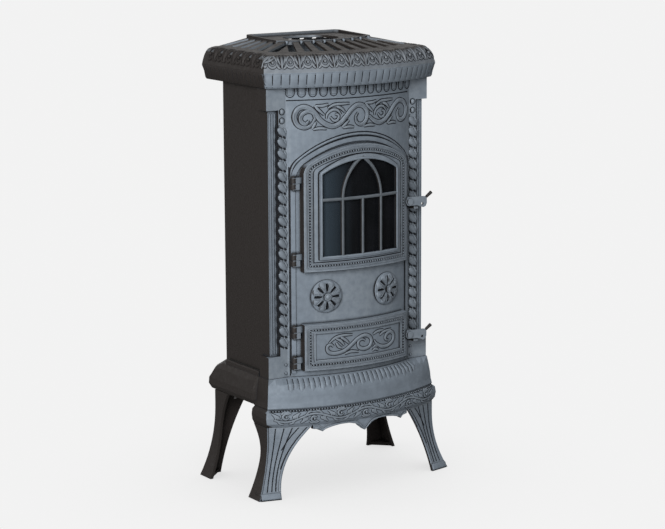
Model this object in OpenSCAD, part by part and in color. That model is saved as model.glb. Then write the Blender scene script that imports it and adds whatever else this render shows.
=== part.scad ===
// Cast-iron room stove: tall box body with a bowed front, two hinged doors,
// a moulded base on four flared legs and an openwork crown over the top plate.
// Millimetres, +Z up, front faces -Y, origin on the floor under the middle.

/* [Heights] */
// Height of the front legs, up to the moulded apron
leg_h = 158; // [140:1:190]
// Height of the scrolled apron above the front legs
apron_h = 41; // [30:1:55]
// Height of the flared skirt between apron and body
skirt_h = 62; // [50:1:80]
// Height of the body between skirt and cornice
body_h = 633; // [600:1:680]
// Height of the fluted cornice band
cornice_h = 33; // [24:1:44]
// Rise of the convex crown moulding
crown_h = 36; // [26:1:46]
// Rise of the slotted slope to the flat of the crown
dome_h = 17; // [12:1:26]
// Height of the lip at the back of the flat of the crown
lip_h = 7; // [4:1:9]

/* [Plan] */
// Half width of the body across its corner blocks
body_half_w = 208; // [195:1:225]
// Depth of the side walls behind the front corners
side_depth = 194; // [180:1:230]
// Size of the cut rear corners
rear_cut = 31; // [20:1:45]
// Half width of the bowed part of the front
bow_half = 160; // [150:1:168]
// How far the bow stands in front of the corners
bow_rise = 36; // [24:1:44]
// How far the corner shafts are set back from the corner blocks
shaft_inset = 8; // [4:1:12]
// How far the corner blocks return along the sides
block_return = 38; // [28:1:50]
// Thickness of the cast walls
wall = 6; // [5:0.5:8]

/* [Base] */
// How far the base stands out past the body at the sides
base_over = 8; // [4:1:14]
// Bow of the base moulding
base_rise = 53; // [46:1:60]
// Extra depth of the base behind the side walls
base_rear = 38; // [20:1:50]
// Depth of the bulge of the apron
apron_bulge = 9; // [4:1:14]
// Thickness of the base casting
base_wall = 7; // [5:0.5:9]
// Half width of the scalloped lower edge between the front legs
scallop_half = 124; // [110:1:135]

/* [Legs] */
// Thickness of the legs
leg_wall = 7; // [5:0.5:9]
// How far the legs flare outwards at the foot
leg_flare = 36; // [20:1:48]
// Width of the foot across its front
foot_w = 54; // [44:1:66]
// How far the foot steps forward from the corner of the body
foot_step = 20; // [10:1:26]
// How far the inner edge of the front arms moves in from foot to top
leg_spread = 67; // [50:1:76]
// Width of the side arms at their waist
leg_waist = 26; // [20:1:32]
// Extra width of the side arms at the top
leg_top_w = 28; // [16:1:32]
// Extra width of the side arms at the foot
leg_foot_w = 18; // [10:1:22]
// Size of the square bolting pads inside base and legs
pad_size = 40; // [34:1:46]
// Thickness of the bolting pads
pad_t = 6; // [5:0.5:8]
// Diameter of the leg bolts
leg_bolt_d = 8; // [6:1:10]
// Thickness of the heads and nuts of the leg bolts
leg_bolt_head = 6; // [5:0.5:8]

/* [Cornice and crown] */
// How far the rim of the cornice stands out past the body
rim_over = 13; // [9:1:18]
// Bow of the rim
rim_rise = 58; // [50:1:64]
// Extra depth of the rim behind the side walls
rim_rear = 54; // [30:1:66]
// Taper of the cornice band below its rim
cornice_taper = 7; // [3:1:10]
// How far inside the rim the slotted slope of the crown begins
ledge_in = 31; // [24:1:44]
// Width of the slotted slope at the sides
slope_w = 68; // [54:1:84]
// Radius of the round opening in the crown
crown_hole_r = 62; // [40:1:66]
// Thickness of the crown casting
crown_wall = 5; // [4:0.5:7]
// Number of slots in the front slope of the crown
front_slots = 9; // [7:2:11]
// Angle between the slots in front
fan_pitch = 6.7; // [5:0.1:8]
// Number of slots at each side
side_slots = 6; // [4:1:7]
// Angle between the slots at the sides
side_pitch = 11.5; // [9:0.5:14]
// Number of slots at the back
rear_slots = 7; // [5:2:9]
// Spacing of the slots at the back
rear_pitch = 33; // [26:1:36]
// Share of the pitch that each slot takes up
slot_share = 0.52; // [0.3:0.01:0.6]

/* [Doors] */
// Half width of both doors
door_half = 134; // [126:1:137]
// How far the face of the doors stands in front of the body
door_proud = 17; // [14:0.5:20]
// Thickness of the door faces
door_face = 6; // [5:0.5:7]
// Width of the rim behind the edge of the doors
door_rim = 8; // [7:0.5:10]
// Gap between the back of the doors and the body
door_gap = 3; // [2.5:0.5:4]
// How far a door covers the body round its opening
door_lap = 18; // [14:1:22]
// Height of the lower edge of the fire door above the skirt
fire_door_z = 233; // [225:1:245]
// Height of the fire door at its sides, up to the arch
fire_door_side_h = 226; // [200:1:235]
// Rise of the arch of the fire door
fire_arch_rise = 46; // [36:1:56]
// Radius of the shoulders of the arch
shoulder_r = 28; // [16:1:40]
// Height of the lower edge of the ash door above the skirt
ash_door_z = 15; // [12:1:20]
// Height of the ash door
ash_door_h = 102; // [90:1:110]
// Half width of the window
window_half = 97; // [90:1:102]
// Width of the frame below the window
window_sill = 32; // [26:1:40]
// Width of the frame above the window
window_head = 27; // [24:1:34]
// Rise of the arch of the window
window_arch_rise = 31; // [24:1:34]
// Height of the transom above the lower edge of the window
transom_z = 124; // [100:1:135]
// Spacing of the upright bars in the window
bar_pitch = 49.5; // [40:0.5:51]
// Width of the bars in the window
bar_w = 6; // [4:0.5:8]
// Thickness of the bars in the window
bar_t = 5; // [3:0.5:5.5]
// How far the rim and bars of the window stand out of the door
window_relief = 4; // [2:0.5:5]
// Width of the rim round the window
window_rim = 6; // [4:0.5:8]
// Thickness of the window pane
pane_t = 4; // [3:0.5:5]

/* [Hinges and latches] */
// Distance of the hinge axis from the middle of the stove
hinge_x = 151; // [148:1:153]
// Distance of the hinge axis in front of the corner plane
hinge_y = 15; // [14:0.5:16.5]
// Outer radius of the hinge knuckles
knuckle_r = 6; // [5:0.5:6.5]
// Radius of the hinge pins
pin_r = 3; // [2:0.5:3.5]
// Running clearance round pins and spindles
run_gap = 0.05; // [0.02:0.01:0.09]
// Height of one hinge knuckle
knuckle_h = 13; // [10:0.5:14]
// Height of the hinges of the fire door above its lower edge
fire_hinge_low = 26; // [20:1:40]
// Distance between the hinges of the fire door
fire_hinge_span = 167; // [140:1:172]
// Distance between the hinges of the ash door
ash_hinge_span = 68; // [56:1:70]
// Distance of the latch pivots from the middle of the stove
latch_x = 137; // [135:1:139]
// Height of the latch of the fire door above its lower edge
fire_latch_z = 131; // [120:1:145]
// Height of the latch of the ash door above its lower edge
ash_latch_z = 49; // [38:1:52]
// Length of the latch lever from its pivot
lever_len = 46; // [42:1:52]
// Thickness of the latch lever
lever_t = 5; // [4:0.5:6]
// Length of the grip on the latch lever
grip_len = 21; // [16:1:26]

/* [Air rosettes] */
// Radius of the air rosettes
rosette_r = 36; // [30:1:38]
// Distance of the rosettes from the middle of the stove
rosette_x = 78; // [70:1:84]
// Height of the rosettes above the skirt
rosette_z = 175; // [168:1:180]
// Number of petals in each rosette
petals = 8; // [6:1:10]
// Height of the dome of each rosette
rosette_dome = 7; // [5:0.5:9]
// Radius of the rosette spindles
spindle_r = 4; // [3:0.5:5]
// Thickness of the heads of the spindles
spindle_head = 3; // [2:0.5:4]

/* [Firebox] */
// Height of the grate shelf above the skirt
shelf_z = 124; // [120:1:130]
// Thickness of the grate shelf
shelf_t = 10; // [8:1:12]
// Half width of the grate
grate_half_w = 108; // [90:1:120]
// Half depth of the grate
grate_half_d = 62; // [50:1:70]
// Width of the gaps in the grate
grate_gap = 8; // [6:0.5:10]
// Thickness of the firebricks
brick_t = 20; // [16:1:24]
// Height of the firebricks above the shelf
brick_h = 335; // [300:5:360]
// Thickness of the baffle plate
baffle_t = 6; // [5:0.5:8]
// Height of the ash pan
pan_h = 66; // [50:1:70]
// Half width of the ash pan
pan_half = 100; // [80:1:108]
// Thickness of the sheet of the ash pan
pan_wall = 1.5; // [1:0.25:2.5]

/* [Flue] */
// Inner radius of the flue collar
flue_r = 55; // [45:1:65]
// Wall of the flue collar
flue_wall = 5; // [4:0.5:7]
// Length of the flue collar behind the back
flue_len = 65; // [50:1:80]
// Height of the flue axis above the skirt
flue_z = 535; // [500:1:545]
// Radius of the hotplate lid in the top plate
lid_r = 78; // [60:1:90]

/* [Hidden] */
$fn = 64;
eps = 0.01;
gap = 0.3;
far = 600;

// Levels
apron_z = leg_h + apron_h;
body_z = apron_z + skirt_h;
body_top = body_z + body_h;
rim_z = body_top + cornice_h;
ledge_z = rim_z + crown_h;
flat_z = ledge_z + dome_h;
fire_z = body_z + fire_door_z;
ash_z = body_z + ash_door_z;
fire_spring = fire_z + fire_door_side_h;
fire_apex = fire_spring + fire_arch_rise;
sill_z = fire_z + window_sill;
window_side_h = fire_apex - window_head - window_arch_rise - sill_z;
shelf_low = body_z + shelf_z;
shelf_top = shelf_low + shelf_t;
brick_top = shelf_top + brick_h;
block_low_h = 48;
block_high_h = 49;

// Plan
wall_half = body_half_w - shaft_inset;
rear_y = side_depth + rear_cut;
front_reach = rim_over + rim_rise;
rear_reach = rear_y + flue_len;
front_y = (front_reach - rear_reach) / 2;
bow_r = (bow_half * bow_half + bow_rise * bow_rise) / (2 * bow_rise);
bow_mid = bow_r - bow_rise;
bow_share = bow_half / body_half_w;
door_back = door_gap;
sample = 10;
corner_steps = 3;

function bow_radius(half, rise) = (half * half + rise * rise) / (2 * rise);
function bow_depth(x, half, rise) = abs(x) >= half ? 0 :
    sqrt(pow(bow_radius(half, rise), 2) - x * x) - bow_radius(half, rise) + rise;

// Plan samples across the front: even steps on the bow, then on the corners
function across(half) = [for (i = [-sample - corner_steps : sample + corner_steps])
    abs(i) <= sample ? half * bow_share * i / sample :
    sign(i) * half * (bow_share + (1 - bow_share) * (abs(i) - sample) / corner_steps)];

// Closed plan outline, anticlockwise, with cut rear corners
function plan(half, front, bow, rise, side, rear, cut) = concat(
    [for (x = across(half)) [x, front - bow_depth(x, bow, rise)]],
    [[half, side], [half - cut, rear], [cut - half, rear], [-half, side]]);

// Outline of an arched panel, with rounded shoulders
function arch(half, low, spring, top, round, n = 10) = let (
    r = bow_radius(half, top - spring),
    mid = top - r,
    hub = mid + sqrt(pow(r - round, 2) - pow(half - round, 2)),
    turn = atan2(hub - mid, half - round)) concat(
    [[-half, low], [half, low]],
    [for (i = [0 : n - 1]) [half - round + round * cos(turn * i / n), hub + round * sin(turn * i / n)]],
    [for (i = [0 : 2 * n]) let (a = turn + (180 - 2 * turn) * i / (2 * n)) [r * cos(a), mid + r * sin(a)]],
    [for (i = [1 : n]) let (a = 180 - turn + turn * i / n)
        [round - half + round * cos(a), hub + round * sin(a)]]);

function box_outline(half, low, high) = [[-half, low], [half, low], [half, high], [-half, high]];

module place() {
    translate([0, front_y, 0]) children();
}

// Solid through plan outlines at rising levels
module loft(rings, levels) {
    n = len(rings[0]);
    points = [for (k = [0 : len(rings) - 1]) for (p = rings[k]) [p[0], p[1], levels[k]]];
    top = (len(rings) - 1) * n;
    walls = [for (k = [0 : len(rings) - 2]) for (i = [0 : n - 1]) let (j = (i + 1) % n)
        [[k * n + i, (k + 1) * n + i, (k + 1) * n + j], [k * n + i, (k + 1) * n + j, k * n + j]]];
    polyhedron(points, concat(
        [[for (i = [0 : n - 1]) i]],
        [for (pair = walls) for (face = pair) face],
        [[for (i = [n - 1 : -1 : 0]) top + i]]), convexity = 6);
}

// Wall that follows the bow of the front, between two offsets in front of it
module bow_wall(inner, outer, low, high) {
    translate([0, bow_mid, low])
    difference() {
        cylinder(r = bow_r + outer, h = high - low, $fn = 180);
        translate([0, 0, -1]) cylinder(r = bow_r + inner, h = high - low + 2, $fn = 180);
    }
}

// Front-view outline pushed through the stove from front to back
module through(points) {
    translate([0, far / 4, 0]) rotate([90, 0, 0]) linear_extrude(far / 2) polygon(points);
}

// Front-view panel on the bow, between two offsets
module bow_panel(points, inner, outer) {
    intersection() {
        through(points);
        bow_wall(inner, outer, 0, ledge_z);
    }
}

module mirrored() {
    children();
    mirror([1, 0, 0]) children();
}

// Frame of a point on the bow: local -Y points straight out of the front
module on_bow(x, z) {
    translate([0, bow_mid, z]) rotate([0, 0, asin(x / bow_r)]) translate([0, -bow_r, 0]) children();
}

module cast_black() { color([0.30, 0.33, 0.36]) children(); }

// ---- Base and legs ----

skirt_ridge_z = apron_z + 25;
skirt_slope_z = apron_z + 50;
base_rear_y = rear_y + base_over + 7;
base_side = side_depth + base_rear;
base_cut = 15;
skirt_start = block_return + 2;

// Base outline: bowed in front, its sides swelling out behind the front corners
function base_ring(over, fore, rise, swell, side, rear) = let (half = body_half_w + over) concat(
    [for (x = across(half)) [x, -fore - bow_depth(x, half, rise)]],
    [[half, skirt_start], [half + swell, skirt_start + 4], [half + swell, side],
    [half + swell - base_cut, rear], [base_cut - half - swell, rear], [-half - swell, side],
    [-half - swell, skirt_start + 4], [-half, skirt_start]]);

function top_ring(grow, drop, side, rear) = let (half = body_half_w + grow) concat(
    [for (x = across(half)) [x, -grow - bow_depth(x, bow_half + grow, bow_rise + drop)]],
    [[half, skirt_start], [half + 1, skirt_start + 4], [half + 1, side], [half + 1 - rear_cut, rear],
    [rear_cut - half - 1, rear], [-half - 1, side], [-half - 1, skirt_start + 4], [-half, skirt_start]]);

module base_outer() {
    b = base_over;
    lobe = apron_bulge;
    loft([
        base_ring(b + 3, b + 1, base_rise, 0.5, base_side, base_rear_y),
        base_ring(b + 3, b + 1, base_rise, 0, base_side, base_rear_y),
        base_ring(b + lobe * 0.8, b + lobe * 0.7, base_rise, 0, base_side, base_rear_y),
        base_ring(b + lobe, b + lobe * 0.85, base_rise, 0, base_side, base_rear_y),
        base_ring(b + lobe * 0.8, b + lobe * 0.7, base_rise, 0, base_side, base_rear_y),
        base_ring(b + 1, b + 1, base_rise, 0, base_side - 6, base_rear_y - 6),
        base_ring(b + 2, b + 2, base_rise, 1, base_side - 4, base_rear_y - 4),
        base_ring(b, b, base_rise, 9, base_side, base_rear_y),
        base_ring(b - 1, b - 1, base_rise - 1, 9, base_side, base_rear_y),
        base_ring(b - 2, b - 2, base_rise - 2, 8, base_side - 6, base_rear_y - 3),
        base_ring(b - 4.5, b - 4.5, base_rise - 8, 6, base_side - 17, rear_y + 7),
        top_ring(1.5, 2, side_depth, rear_y + 2)],
        [leg_h - 30, leg_h, leg_h + apron_h * 0.2, leg_h + apron_h / 2, apron_z - apron_h * 0.2, apron_z - 3,
        apron_z, apron_z + 11, skirt_ridge_z, apron_z + 33, skirt_slope_z, body_z]);
}

module base_inner() {
    w = base_wall;
    b = base_over - w;
    loft([
        base_ring(b, b, base_rise, 0.5, base_side - w - 6, base_rear_y - w - 6),
        base_ring(b, b, base_rise, 0, base_side - w - 6, base_rear_y - w - 6),
        base_ring(b - 1, b - 1, base_rise - 1, 8, base_side - w, base_rear_y - w),
        base_ring(b - 4, b - 4, base_rise - 5, 6, base_side - w - 12, base_rear_y - w - 4),
        top_ring(-w, 0, side_depth - 4, rear_y - w)],
        [leg_h - 40, apron_z, skirt_ridge_z, skirt_slope_z - 8, body_z - base_wall]);
}

// Raised edge of the side skirts, overlapping the foot of the side walls
module skirt_lips() {
    mirrored() translate([0, side_depth - 14, 0]) rotate([90, 0, 0])
        linear_extrude(side_depth - 14 - skirt_start) polygon([
            [wall_half + gap, body_z - 3], [body_half_w + 2, body_z - 3],
            [body_half_w + 1.5, body_z + 9], [body_half_w, body_z + 11], [wall_half + gap, body_z + 11]]);
}

// Lower edge of the apron in front view: four arches and three points
scallop = [[-scallop_half, leg_h], [-scallop_half, leg_h - 9], [-112, leg_h - 10], [-103, leg_h - 16],
    [-95, leg_h - 11], [-80, leg_h - 7], [-60, leg_h - 4], [-40, leg_h - 4], [-22, leg_h - 8],
    [-10, leg_h - 17], [0, leg_h - 25], [10, leg_h - 17], [22, leg_h - 8], [40, leg_h - 4],
    [60, leg_h - 4], [80, leg_h - 7], [95, leg_h - 11], [103, leg_h - 16], [112, leg_h - 10],
    [scallop_half, leg_h - 9], [scallop_half, leg_h]];

front_pad_x = body_half_w - pad_size + 2;
front_pad_y = 4;
rear_leg_top = apron_z;
rear_corner_y = side_depth + 12;
rear_pad_y = rear_corner_y - pad_size - 4;

module leg_pad(low_y, y, z) {
    mirrored() translate([front_pad_x - 4, low_y, z])
        cube([body_half_w + base_over - front_pad_x + 2, y + pad_size - low_y, pad_t]);
}

module leg_bolt_places() {
    for (side = [-1, 1]) {
        translate([side * (front_pad_x + pad_size / 2 - 4), front_pad_y + pad_size / 2, leg_h]) children();
        translate([side * (front_pad_x + pad_size / 2 - 4), rear_pad_y + pad_size / 2, rear_leg_top])
            children();
    }
}

module base_casting() {
    cast_black() place() difference() {
        union() {
            difference() {
                base_outer();
                base_inner();
            }
            skirt_lips();
            leg_pad(-4, front_pad_y, leg_h);
            leg_pad(rear_pad_y, rear_pad_y, rear_leg_top);
        }
        // Legs take over below the apron at the corners
        difference() {
            translate([-far / 2, -far / 2, leg_h - 60]) cube([far, far, 60]);
            through(scallop);
        }
        // The sides and the back end at the foot of the skirt
        translate([-far / 2, front_pad_y + pad_size + 2, leg_h - 60]) cube([far, far, apron_h + 60]);
        leg_bolt_places() translate([0, 0, -1]) cylinder(d = leg_bolt_d + 1, h = pad_t + 2, $fn = 24);
    }
}

// Leg section: an angle whose arms widen towards the top and the foot
function leg_out(s) = base_over + 3 + (s < 140 ? leg_flare * pow(1 - s / 140, 2) : 0);
function leg_fore(s) = base_over + 1 + (s < 140 ? foot_step * pow(1 - s / 140, 2.5) : 0);
function leg_inner(s, foot) = foot - leg_spread * pow(s / 157, 2);
function leg_return(s) = leg_waist +
    (s > 100 ? leg_top_w * pow((s - 100) / 64, 2) : leg_foot_w * pow((100 - s) / 84, 1.5));
foot_inner = body_half_w + base_over + 3 + leg_flare - foot_w;

// The curves above are drawn over this height and cut off at the floor
leg_draft = 166;
foot_cut = 8;
// The pads stand this far above the walls of the legs
leg_seat = 0.6;

// Arm along the side
function side_arm(s) = let (
    x = body_half_w + leg_out(s),
    y = -leg_fore(s),
    back = y + leg_return(s)) [
    [x, y], [x, back], [x - leg_wall, back], [x - leg_wall, y]];

// Arm across the front, lapped into the side arm
function front_arm(s, slant) = let (
    x = body_half_w + leg_out(s),
    y = -leg_fore(s) - 0.3,
    start = leg_wall / 2,
    arm = x - leg_inner(s, foot_inner)) [
    [x - start, y - slant * start], [x - start, y + leg_wall - slant * start],
    [x - arm, y + leg_wall - slant * arm], [x - arm, y - slant * arm]];

// Web that closes the angle at the foot
function foot_web(s, slant) = let (
    x = body_half_w + leg_out(s) - leg_wall / 2,
    y = -leg_fore(s) + leg_wall / 2,
    arm = x - leg_inner(s, foot_inner) - 3) [
    [x, y], [x, y - leg_wall / 2 + leg_return(s) - 2], [x - arm, y - slant * arm]];

leg_steps = 14;
module leg_casting(top, slant, pad_y) {
    step_s = (leg_draft - foot_cut) / leg_steps;
    loft([for (i = [0 : leg_steps]) front_arm(foot_cut + step_s * i, slant * (0.6 + 0.4 * i / leg_steps))],
        [for (i = [0 : leg_steps]) (top - leg_seat) * i / leg_steps]);
    loft([for (i = [0 : leg_steps]) side_arm(foot_cut + step_s * i)],
        [for (i = [0 : leg_steps]) 0.4 + (top - leg_seat - 0.8) * i / leg_steps]);
    loft([for (i = [0 : 1]) foot_web(foot_cut + 8 * i, slant * 0.6)], [1, 9]);
    difference() {
        translate([front_pad_x - 4, pad_y, top - pad_t])
            cube([body_half_w + leg_out(leg_draft) - front_pad_x + 2, pad_size, pad_t]);
        translate([front_pad_x + pad_size / 2 - 4, pad_y + pad_size / 2, top - pad_t - 1])
            cylinder(d = leg_bolt_d + 1, h = pad_t + 2, $fn = 24);
    }
}

front_slant = 0.386;
module front_leg() { leg_casting(leg_h, front_slant, front_pad_y); }
module rear_leg() {
    translate([0, rear_corner_y, 0]) mirror([0, 1, 0])
        leg_casting(rear_leg_top, 0, rear_corner_y - rear_pad_y - pad_size);
}
module leg_front_right() { cast_black() place() front_leg(); }
module leg_front_left() { cast_black() place() mirror([1, 0, 0]) front_leg(); }
module leg_rear_right() { cast_black() place() rear_leg(); }
module leg_rear_left() { cast_black() place() mirror([1, 0, 0]) rear_leg(); }

module leg_bolts() {
    color([0.2, 0.2, 0.21]) place() leg_bolt_places() {
        translate([0, 0, -pad_t - leg_bolt_head - leg_bolt_d])
            cylinder(d = leg_bolt_d, h = 2 * (pad_t + leg_bolt_head) + leg_bolt_d * 1.5, $fn = 24);
        translate([0, 0, -pad_t - leg_bolt_head]) cylinder(d = leg_bolt_d * 2, h = leg_bolt_head, $fn = 6);
        translate([0, 0, pad_t]) cylinder(d = leg_bolt_d * 2, h = leg_bolt_head, $fn = 6);
    }
}

// ---- Body ----

fire_hole_half = door_half - door_lap;
fire_hole = arch(fire_hole_half, fire_z + door_lap, fire_spring - 5, fire_apex - door_lap, shoulder_r - 8);
ash_hole = box_outline(fire_hole_half, ash_z + door_lap - 6, ash_z + ash_door_h - door_lap + 6);
frame_out = 153;
frame_w = 9;
frame_proud = 3;
frame_arch_z = fire_apex + 14;

module block_pair(low, high) {
    mirrored() difference() {
        translate([bow_half - 1, 0, low]) cube([body_half_w - bow_half + 1, block_return, high - low]);
        translate([bow_half - 2, wall, low - 1])
            cube([wall_half - wall - bow_half + 2, block_return, high - low + 2]);
    }
}

module shaft_pair() {
    low = body_z + block_low_h - eps;
    high = body_top - block_high_h + eps;
    step_x = wall_half - 22;
    mirrored() {
        translate([bow_half - 1, 0, low]) cube([step_x - bow_half + 1, wall, high - low]);
        translate([step_x - wall, 0, low]) cube([wall, shaft_inset + wall, high - low]);
        translate([step_x - 1, shaft_inset, low]) cube([wall_half - step_x + 1, wall, high - low]);
        translate([wall_half - wall, shaft_inset, low])
            cube([wall, block_return - shaft_inset, high - low]);
    }
}

module door_frame_moulding() {
    mid_band = arch(frame_out, body_z + 8, frame_arch_z - 62, frame_arch_z, 60);
    hole = arch(frame_out - frame_w, body_z - 1, frame_arch_z - 62 - frame_w * 0.6,
        frame_arch_z - frame_w, 60 - frame_w);
    difference() {
        bow_panel(mid_band, -1, frame_proud);
        bow_panel(hole, -2, frame_proud + 2);
    }
}

module hinge_fixed(z) {
    difference() {
        union() {
            translate([-hinge_x, -hinge_y, z - knuckle_h]) cylinder(r = knuckle_r, h = knuckle_h - gap);
            translate([-hinge_x - 4, -hinge_y, z - knuckle_h]) cube([16, hinge_y, knuckle_h - gap]);
            translate([-hinge_x, -hinge_y - knuckle_r, z - knuckle_h])
                cube([12, knuckle_r + 1, knuckle_h - gap]);
        }
        translate([-hinge_x, -hinge_y, z - knuckle_h - 1])
            cylinder(r = pin_r + run_gap, h = knuckle_h + 2);
    }
}

fire_hinges = [fire_z + fire_hinge_low, fire_z + fire_hinge_low + fire_hinge_span];
ash_hinges = [ash_z + (ash_door_h - ash_hinge_span) / 2, ash_z + (ash_door_h + ash_hinge_span) / 2];
all_hinges = concat(fire_hinges, ash_hinges);

petal_in = spindle_r + 8;
petal_out = rosette_r - 7;
petal_w = 5;
module petal_slots(depth) {
    for (i = [0 : petals - 1]) rotate([0, i * 360 / petals, 0])
        translate([petal_in, -depth / 2, -petal_w / 2]) cube([petal_out - petal_in, depth, petal_w]);
}

module front_plate() {
    cast_black() place() difference() {
        union() {
            intersection() {
                bow_wall(-wall, 0, body_z, body_top);
                translate([-bow_half, -far / 4, 0]) cube([2 * bow_half, far / 2, far * 2]);
            }
            block_pair(body_z, body_z + block_low_h);
            block_pair(body_top - block_high_h, body_top);
            shaft_pair();
            door_frame_moulding();
            for (z = all_hinges) hinge_fixed(z);
        }
        through(fire_hole);
        through(ash_hole);
        for (side = [-1, 1]) on_bow(side * rosette_x, body_z + rosette_z) {
            rotate([0, 180 / petals, 0]) petal_slots(4 * wall);
            rotate([90, 0, 0]) translate([0, 0, -2 * wall])
                cylinder(r = spindle_r + run_gap, h = 4 * wall);
        }
    }
}

module side_wall() {
    translate([wall_half - wall, block_return, body_z]) cube([wall, side_depth - block_return, body_h]);
}
module side_plate_right() { cast_black() place() side_wall(); }
module side_plate_left() { cast_black() place() mirror([1, 0, 0]) side_wall(); }

back_flat = wall_half - rear_cut;
back_turn = wall * tan(22.5);
module back_plate() {
    cast_black() place() difference() {
        translate([0, 0, body_z]) linear_extrude(body_h) polygon([
            [-wall_half, side_depth], [wall - wall_half, side_depth],
            [back_turn - back_flat, rear_y - wall], [back_flat - back_turn, rear_y - wall],
            [wall_half - wall, side_depth], [wall_half, side_depth],
            [back_flat, rear_y], [-back_flat, rear_y]]);
        translate([0, rear_y - 2 * wall, body_z + flue_z]) rotate([-90, 0, 0])
            cylinder(r = flue_r + 3, h = 3 * wall);
        flue_bolt_places() translate([0, 0, -15]) cylinder(d = 7, h = 40, $fn = 24);
    }
}

// ---- Firebox ----

inner_r = bow_r - wall - 0.5;
inner_half = wall_half - wall - gap;
grate_mid = 108;

module inner_prism(low, high) {
    intersection() {
        translate([-inner_half, -far / 4, low])
            cube([2 * inner_half, far / 4 + rear_y - rear_cut - wall, high - low]);
        translate([0, bow_mid, low]) cylinder(r = inner_r, h = high - low, $fn = 180);
    }
}

module grate_shelf() {
    color([0.22, 0.22, 0.23]) place() difference() {
        inner_prism(shelf_low, shelf_top);
        translate([-grate_half_w - 1, grate_mid - grate_half_d - 1, shelf_low + 4])
            cube([2 * grate_half_w + 2, 2 * grate_half_d + 2, shelf_t]);
        translate([-grate_half_w + 8, grate_mid - grate_half_d + 8, shelf_low - 1])
            cube([2 * grate_half_w - 16, 2 * grate_half_d - 16, shelf_t]);
        // Corner blocks of the front reach inwards here
        mirrored() translate([bow_half - 1, -far / 4, shelf_low - 1])
            cube([far, far / 4 + shaft_inset + wall + gap, shelf_t + 2]);
    }
}

grate_pitch = 2 * grate_gap;
grate_bars = floor((grate_half_w - 12) / grate_pitch);
module fire_grate() {
    color([0.2, 0.2, 0.2]) place() difference() {
        translate([-grate_half_w, grate_mid - grate_half_d, shelf_low + 4])
            cube([2 * grate_half_w, 2 * grate_half_d, shelf_t]);
        for (i = [-grate_bars : grate_bars])
            translate([i * grate_pitch - grate_gap / 2, grate_mid - grate_half_d + 12, shelf_low])
                cube([grate_gap, 2 * grate_half_d - 24, 2 * shelf_t]);
    }
}

module side_brick() {
    translate([wall_half - wall - brick_t - 0.5, block_return + 2, shelf_top])
        cube([brick_t, side_depth - block_return - 14, brick_h]);
}
module brick_right() { color([0.72, 0.62, 0.48]) place() side_brick(); }
module brick_left() { color([0.72, 0.62, 0.48]) place() mirror([1, 0, 0]) side_brick(); }
brick_back_y = rear_y - wall - brick_t - 0.5;
module brick_back() {
    color([0.72, 0.62, 0.48]) place() translate([-back_flat + 12, brick_back_y, shelf_top])
        cube([2 * back_flat - 24, brick_t, brick_h]);
}

baffle_front = 70;
module baffle_plate() {
    color([0.22, 0.22, 0.23]) place() translate([-inner_half + 2, baffle_front, brick_top])
        cube([2 * inner_half - 4, side_depth - baffle_front - 4, baffle_t]);
}

pan_low = ash_z + door_lap - 4;
pan_front = 14;
pan_back = 186;
module pan_runners() {
    color([0.22, 0.22, 0.23]) place() mirrored()
        translate([pan_half - 30, pan_front, body_z]) cube([14, pan_back - pan_front, pan_low - body_z]);
}

module ash_pan() {
    color([0.35, 0.36, 0.38]) place() difference() {
        translate([-pan_half, pan_front, pan_low]) cube([2 * pan_half, pan_back - pan_front, pan_h]);
        translate([pan_wall - pan_half, pan_front + pan_wall, pan_low + pan_wall])
            cube([2 * (pan_half - pan_wall), pan_back - pan_front - 2 * pan_wall, pan_h]);
    }
}

module ash_pan_handle() {
    r = 3;
    w = 28;
    reach = 14;
    color([0.5, 0.5, 0.5]) place() translate([0, pan_front, pan_low + pan_h / 2]) {
        mirrored() translate([w, 0, 0]) rotate([90, 0, 0]) cylinder(r = r, h = reach, $fn = 24);
        translate([-w - r, -reach, 0]) rotate([0, 90, 0]) cylinder(r = r, h = 2 * (w + r), $fn = 24);
    }
}

lid_mid = 105;
lid_seat = 6;
module top_plate() {
    cast_black() place() difference() {
        translate([0, 0, body_top]) linear_extrude(wall) polygon(plan(wall_half, 0, bow_half,
            bow_rise, side_depth, rear_y, rear_cut));
        translate([0, lid_mid, body_top - 1]) cylinder(r = lid_r - lid_seat, h = wall + 2);
        translate([0, lid_mid, body_top + wall / 2]) cylinder(r = lid_r + 0.5, h = wall);
    }
}

module hotplate_lid() {
    cast_black() place() translate([0, lid_mid, body_top + wall / 2]) difference() {
        cylinder(r = lid_r, h = wall);
        translate([-4, -lid_r + 16, wall / 2]) cube([8, 22, wall]);
    }
}

// ---- Cornice and crown ----

function rim_plan(inset) = plan(body_half_w + rim_over - inset, inset - rim_over,
    body_half_w + rim_over - inset, rim_rise - inset * 0.15, side_depth + rim_rear - inset,
    rear_y + rim_rear - 12 - inset, 20);

module cornice() {
    cast_black() place() difference() {
        loft([rim_plan(cornice_taper), rim_plan(cornice_taper - 1.5), rim_plan(cornice_taper - 2),
            rim_plan(2), rim_plan(0), rim_plan(0)],
            [body_top, body_top + 3, body_top + 4, rim_z - 7, rim_z - 4, rim_z]);
        loft([rim_plan(cornice_taper + wall), rim_plan(wall)], [body_top + wall, rim_z + 1]);
        translate([0, 0, body_top - 1]) linear_extrude(wall + 2) polygon(plan(wall_half + gap, -gap,
            bow_half + gap, bow_rise, side_depth + gap, rear_y + gap, rear_cut));
    }
}

ledge_half = body_half_w + rim_over - ledge_in;
ledge_front = ledge_in + 4 - rim_over;
ledge_rise = rim_rise - 2;
ledge_rear = rear_y + rim_rear - 26;
flat_half = ledge_half - slope_w;
flat_front = ledge_front + slope_w + 7;
flat_rise = 34;
flat_rear = ledge_rear - 23;
flat_cut = 8;
flat_lip = 6;
lip_front = 2;
slot_margin = 13;

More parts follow.
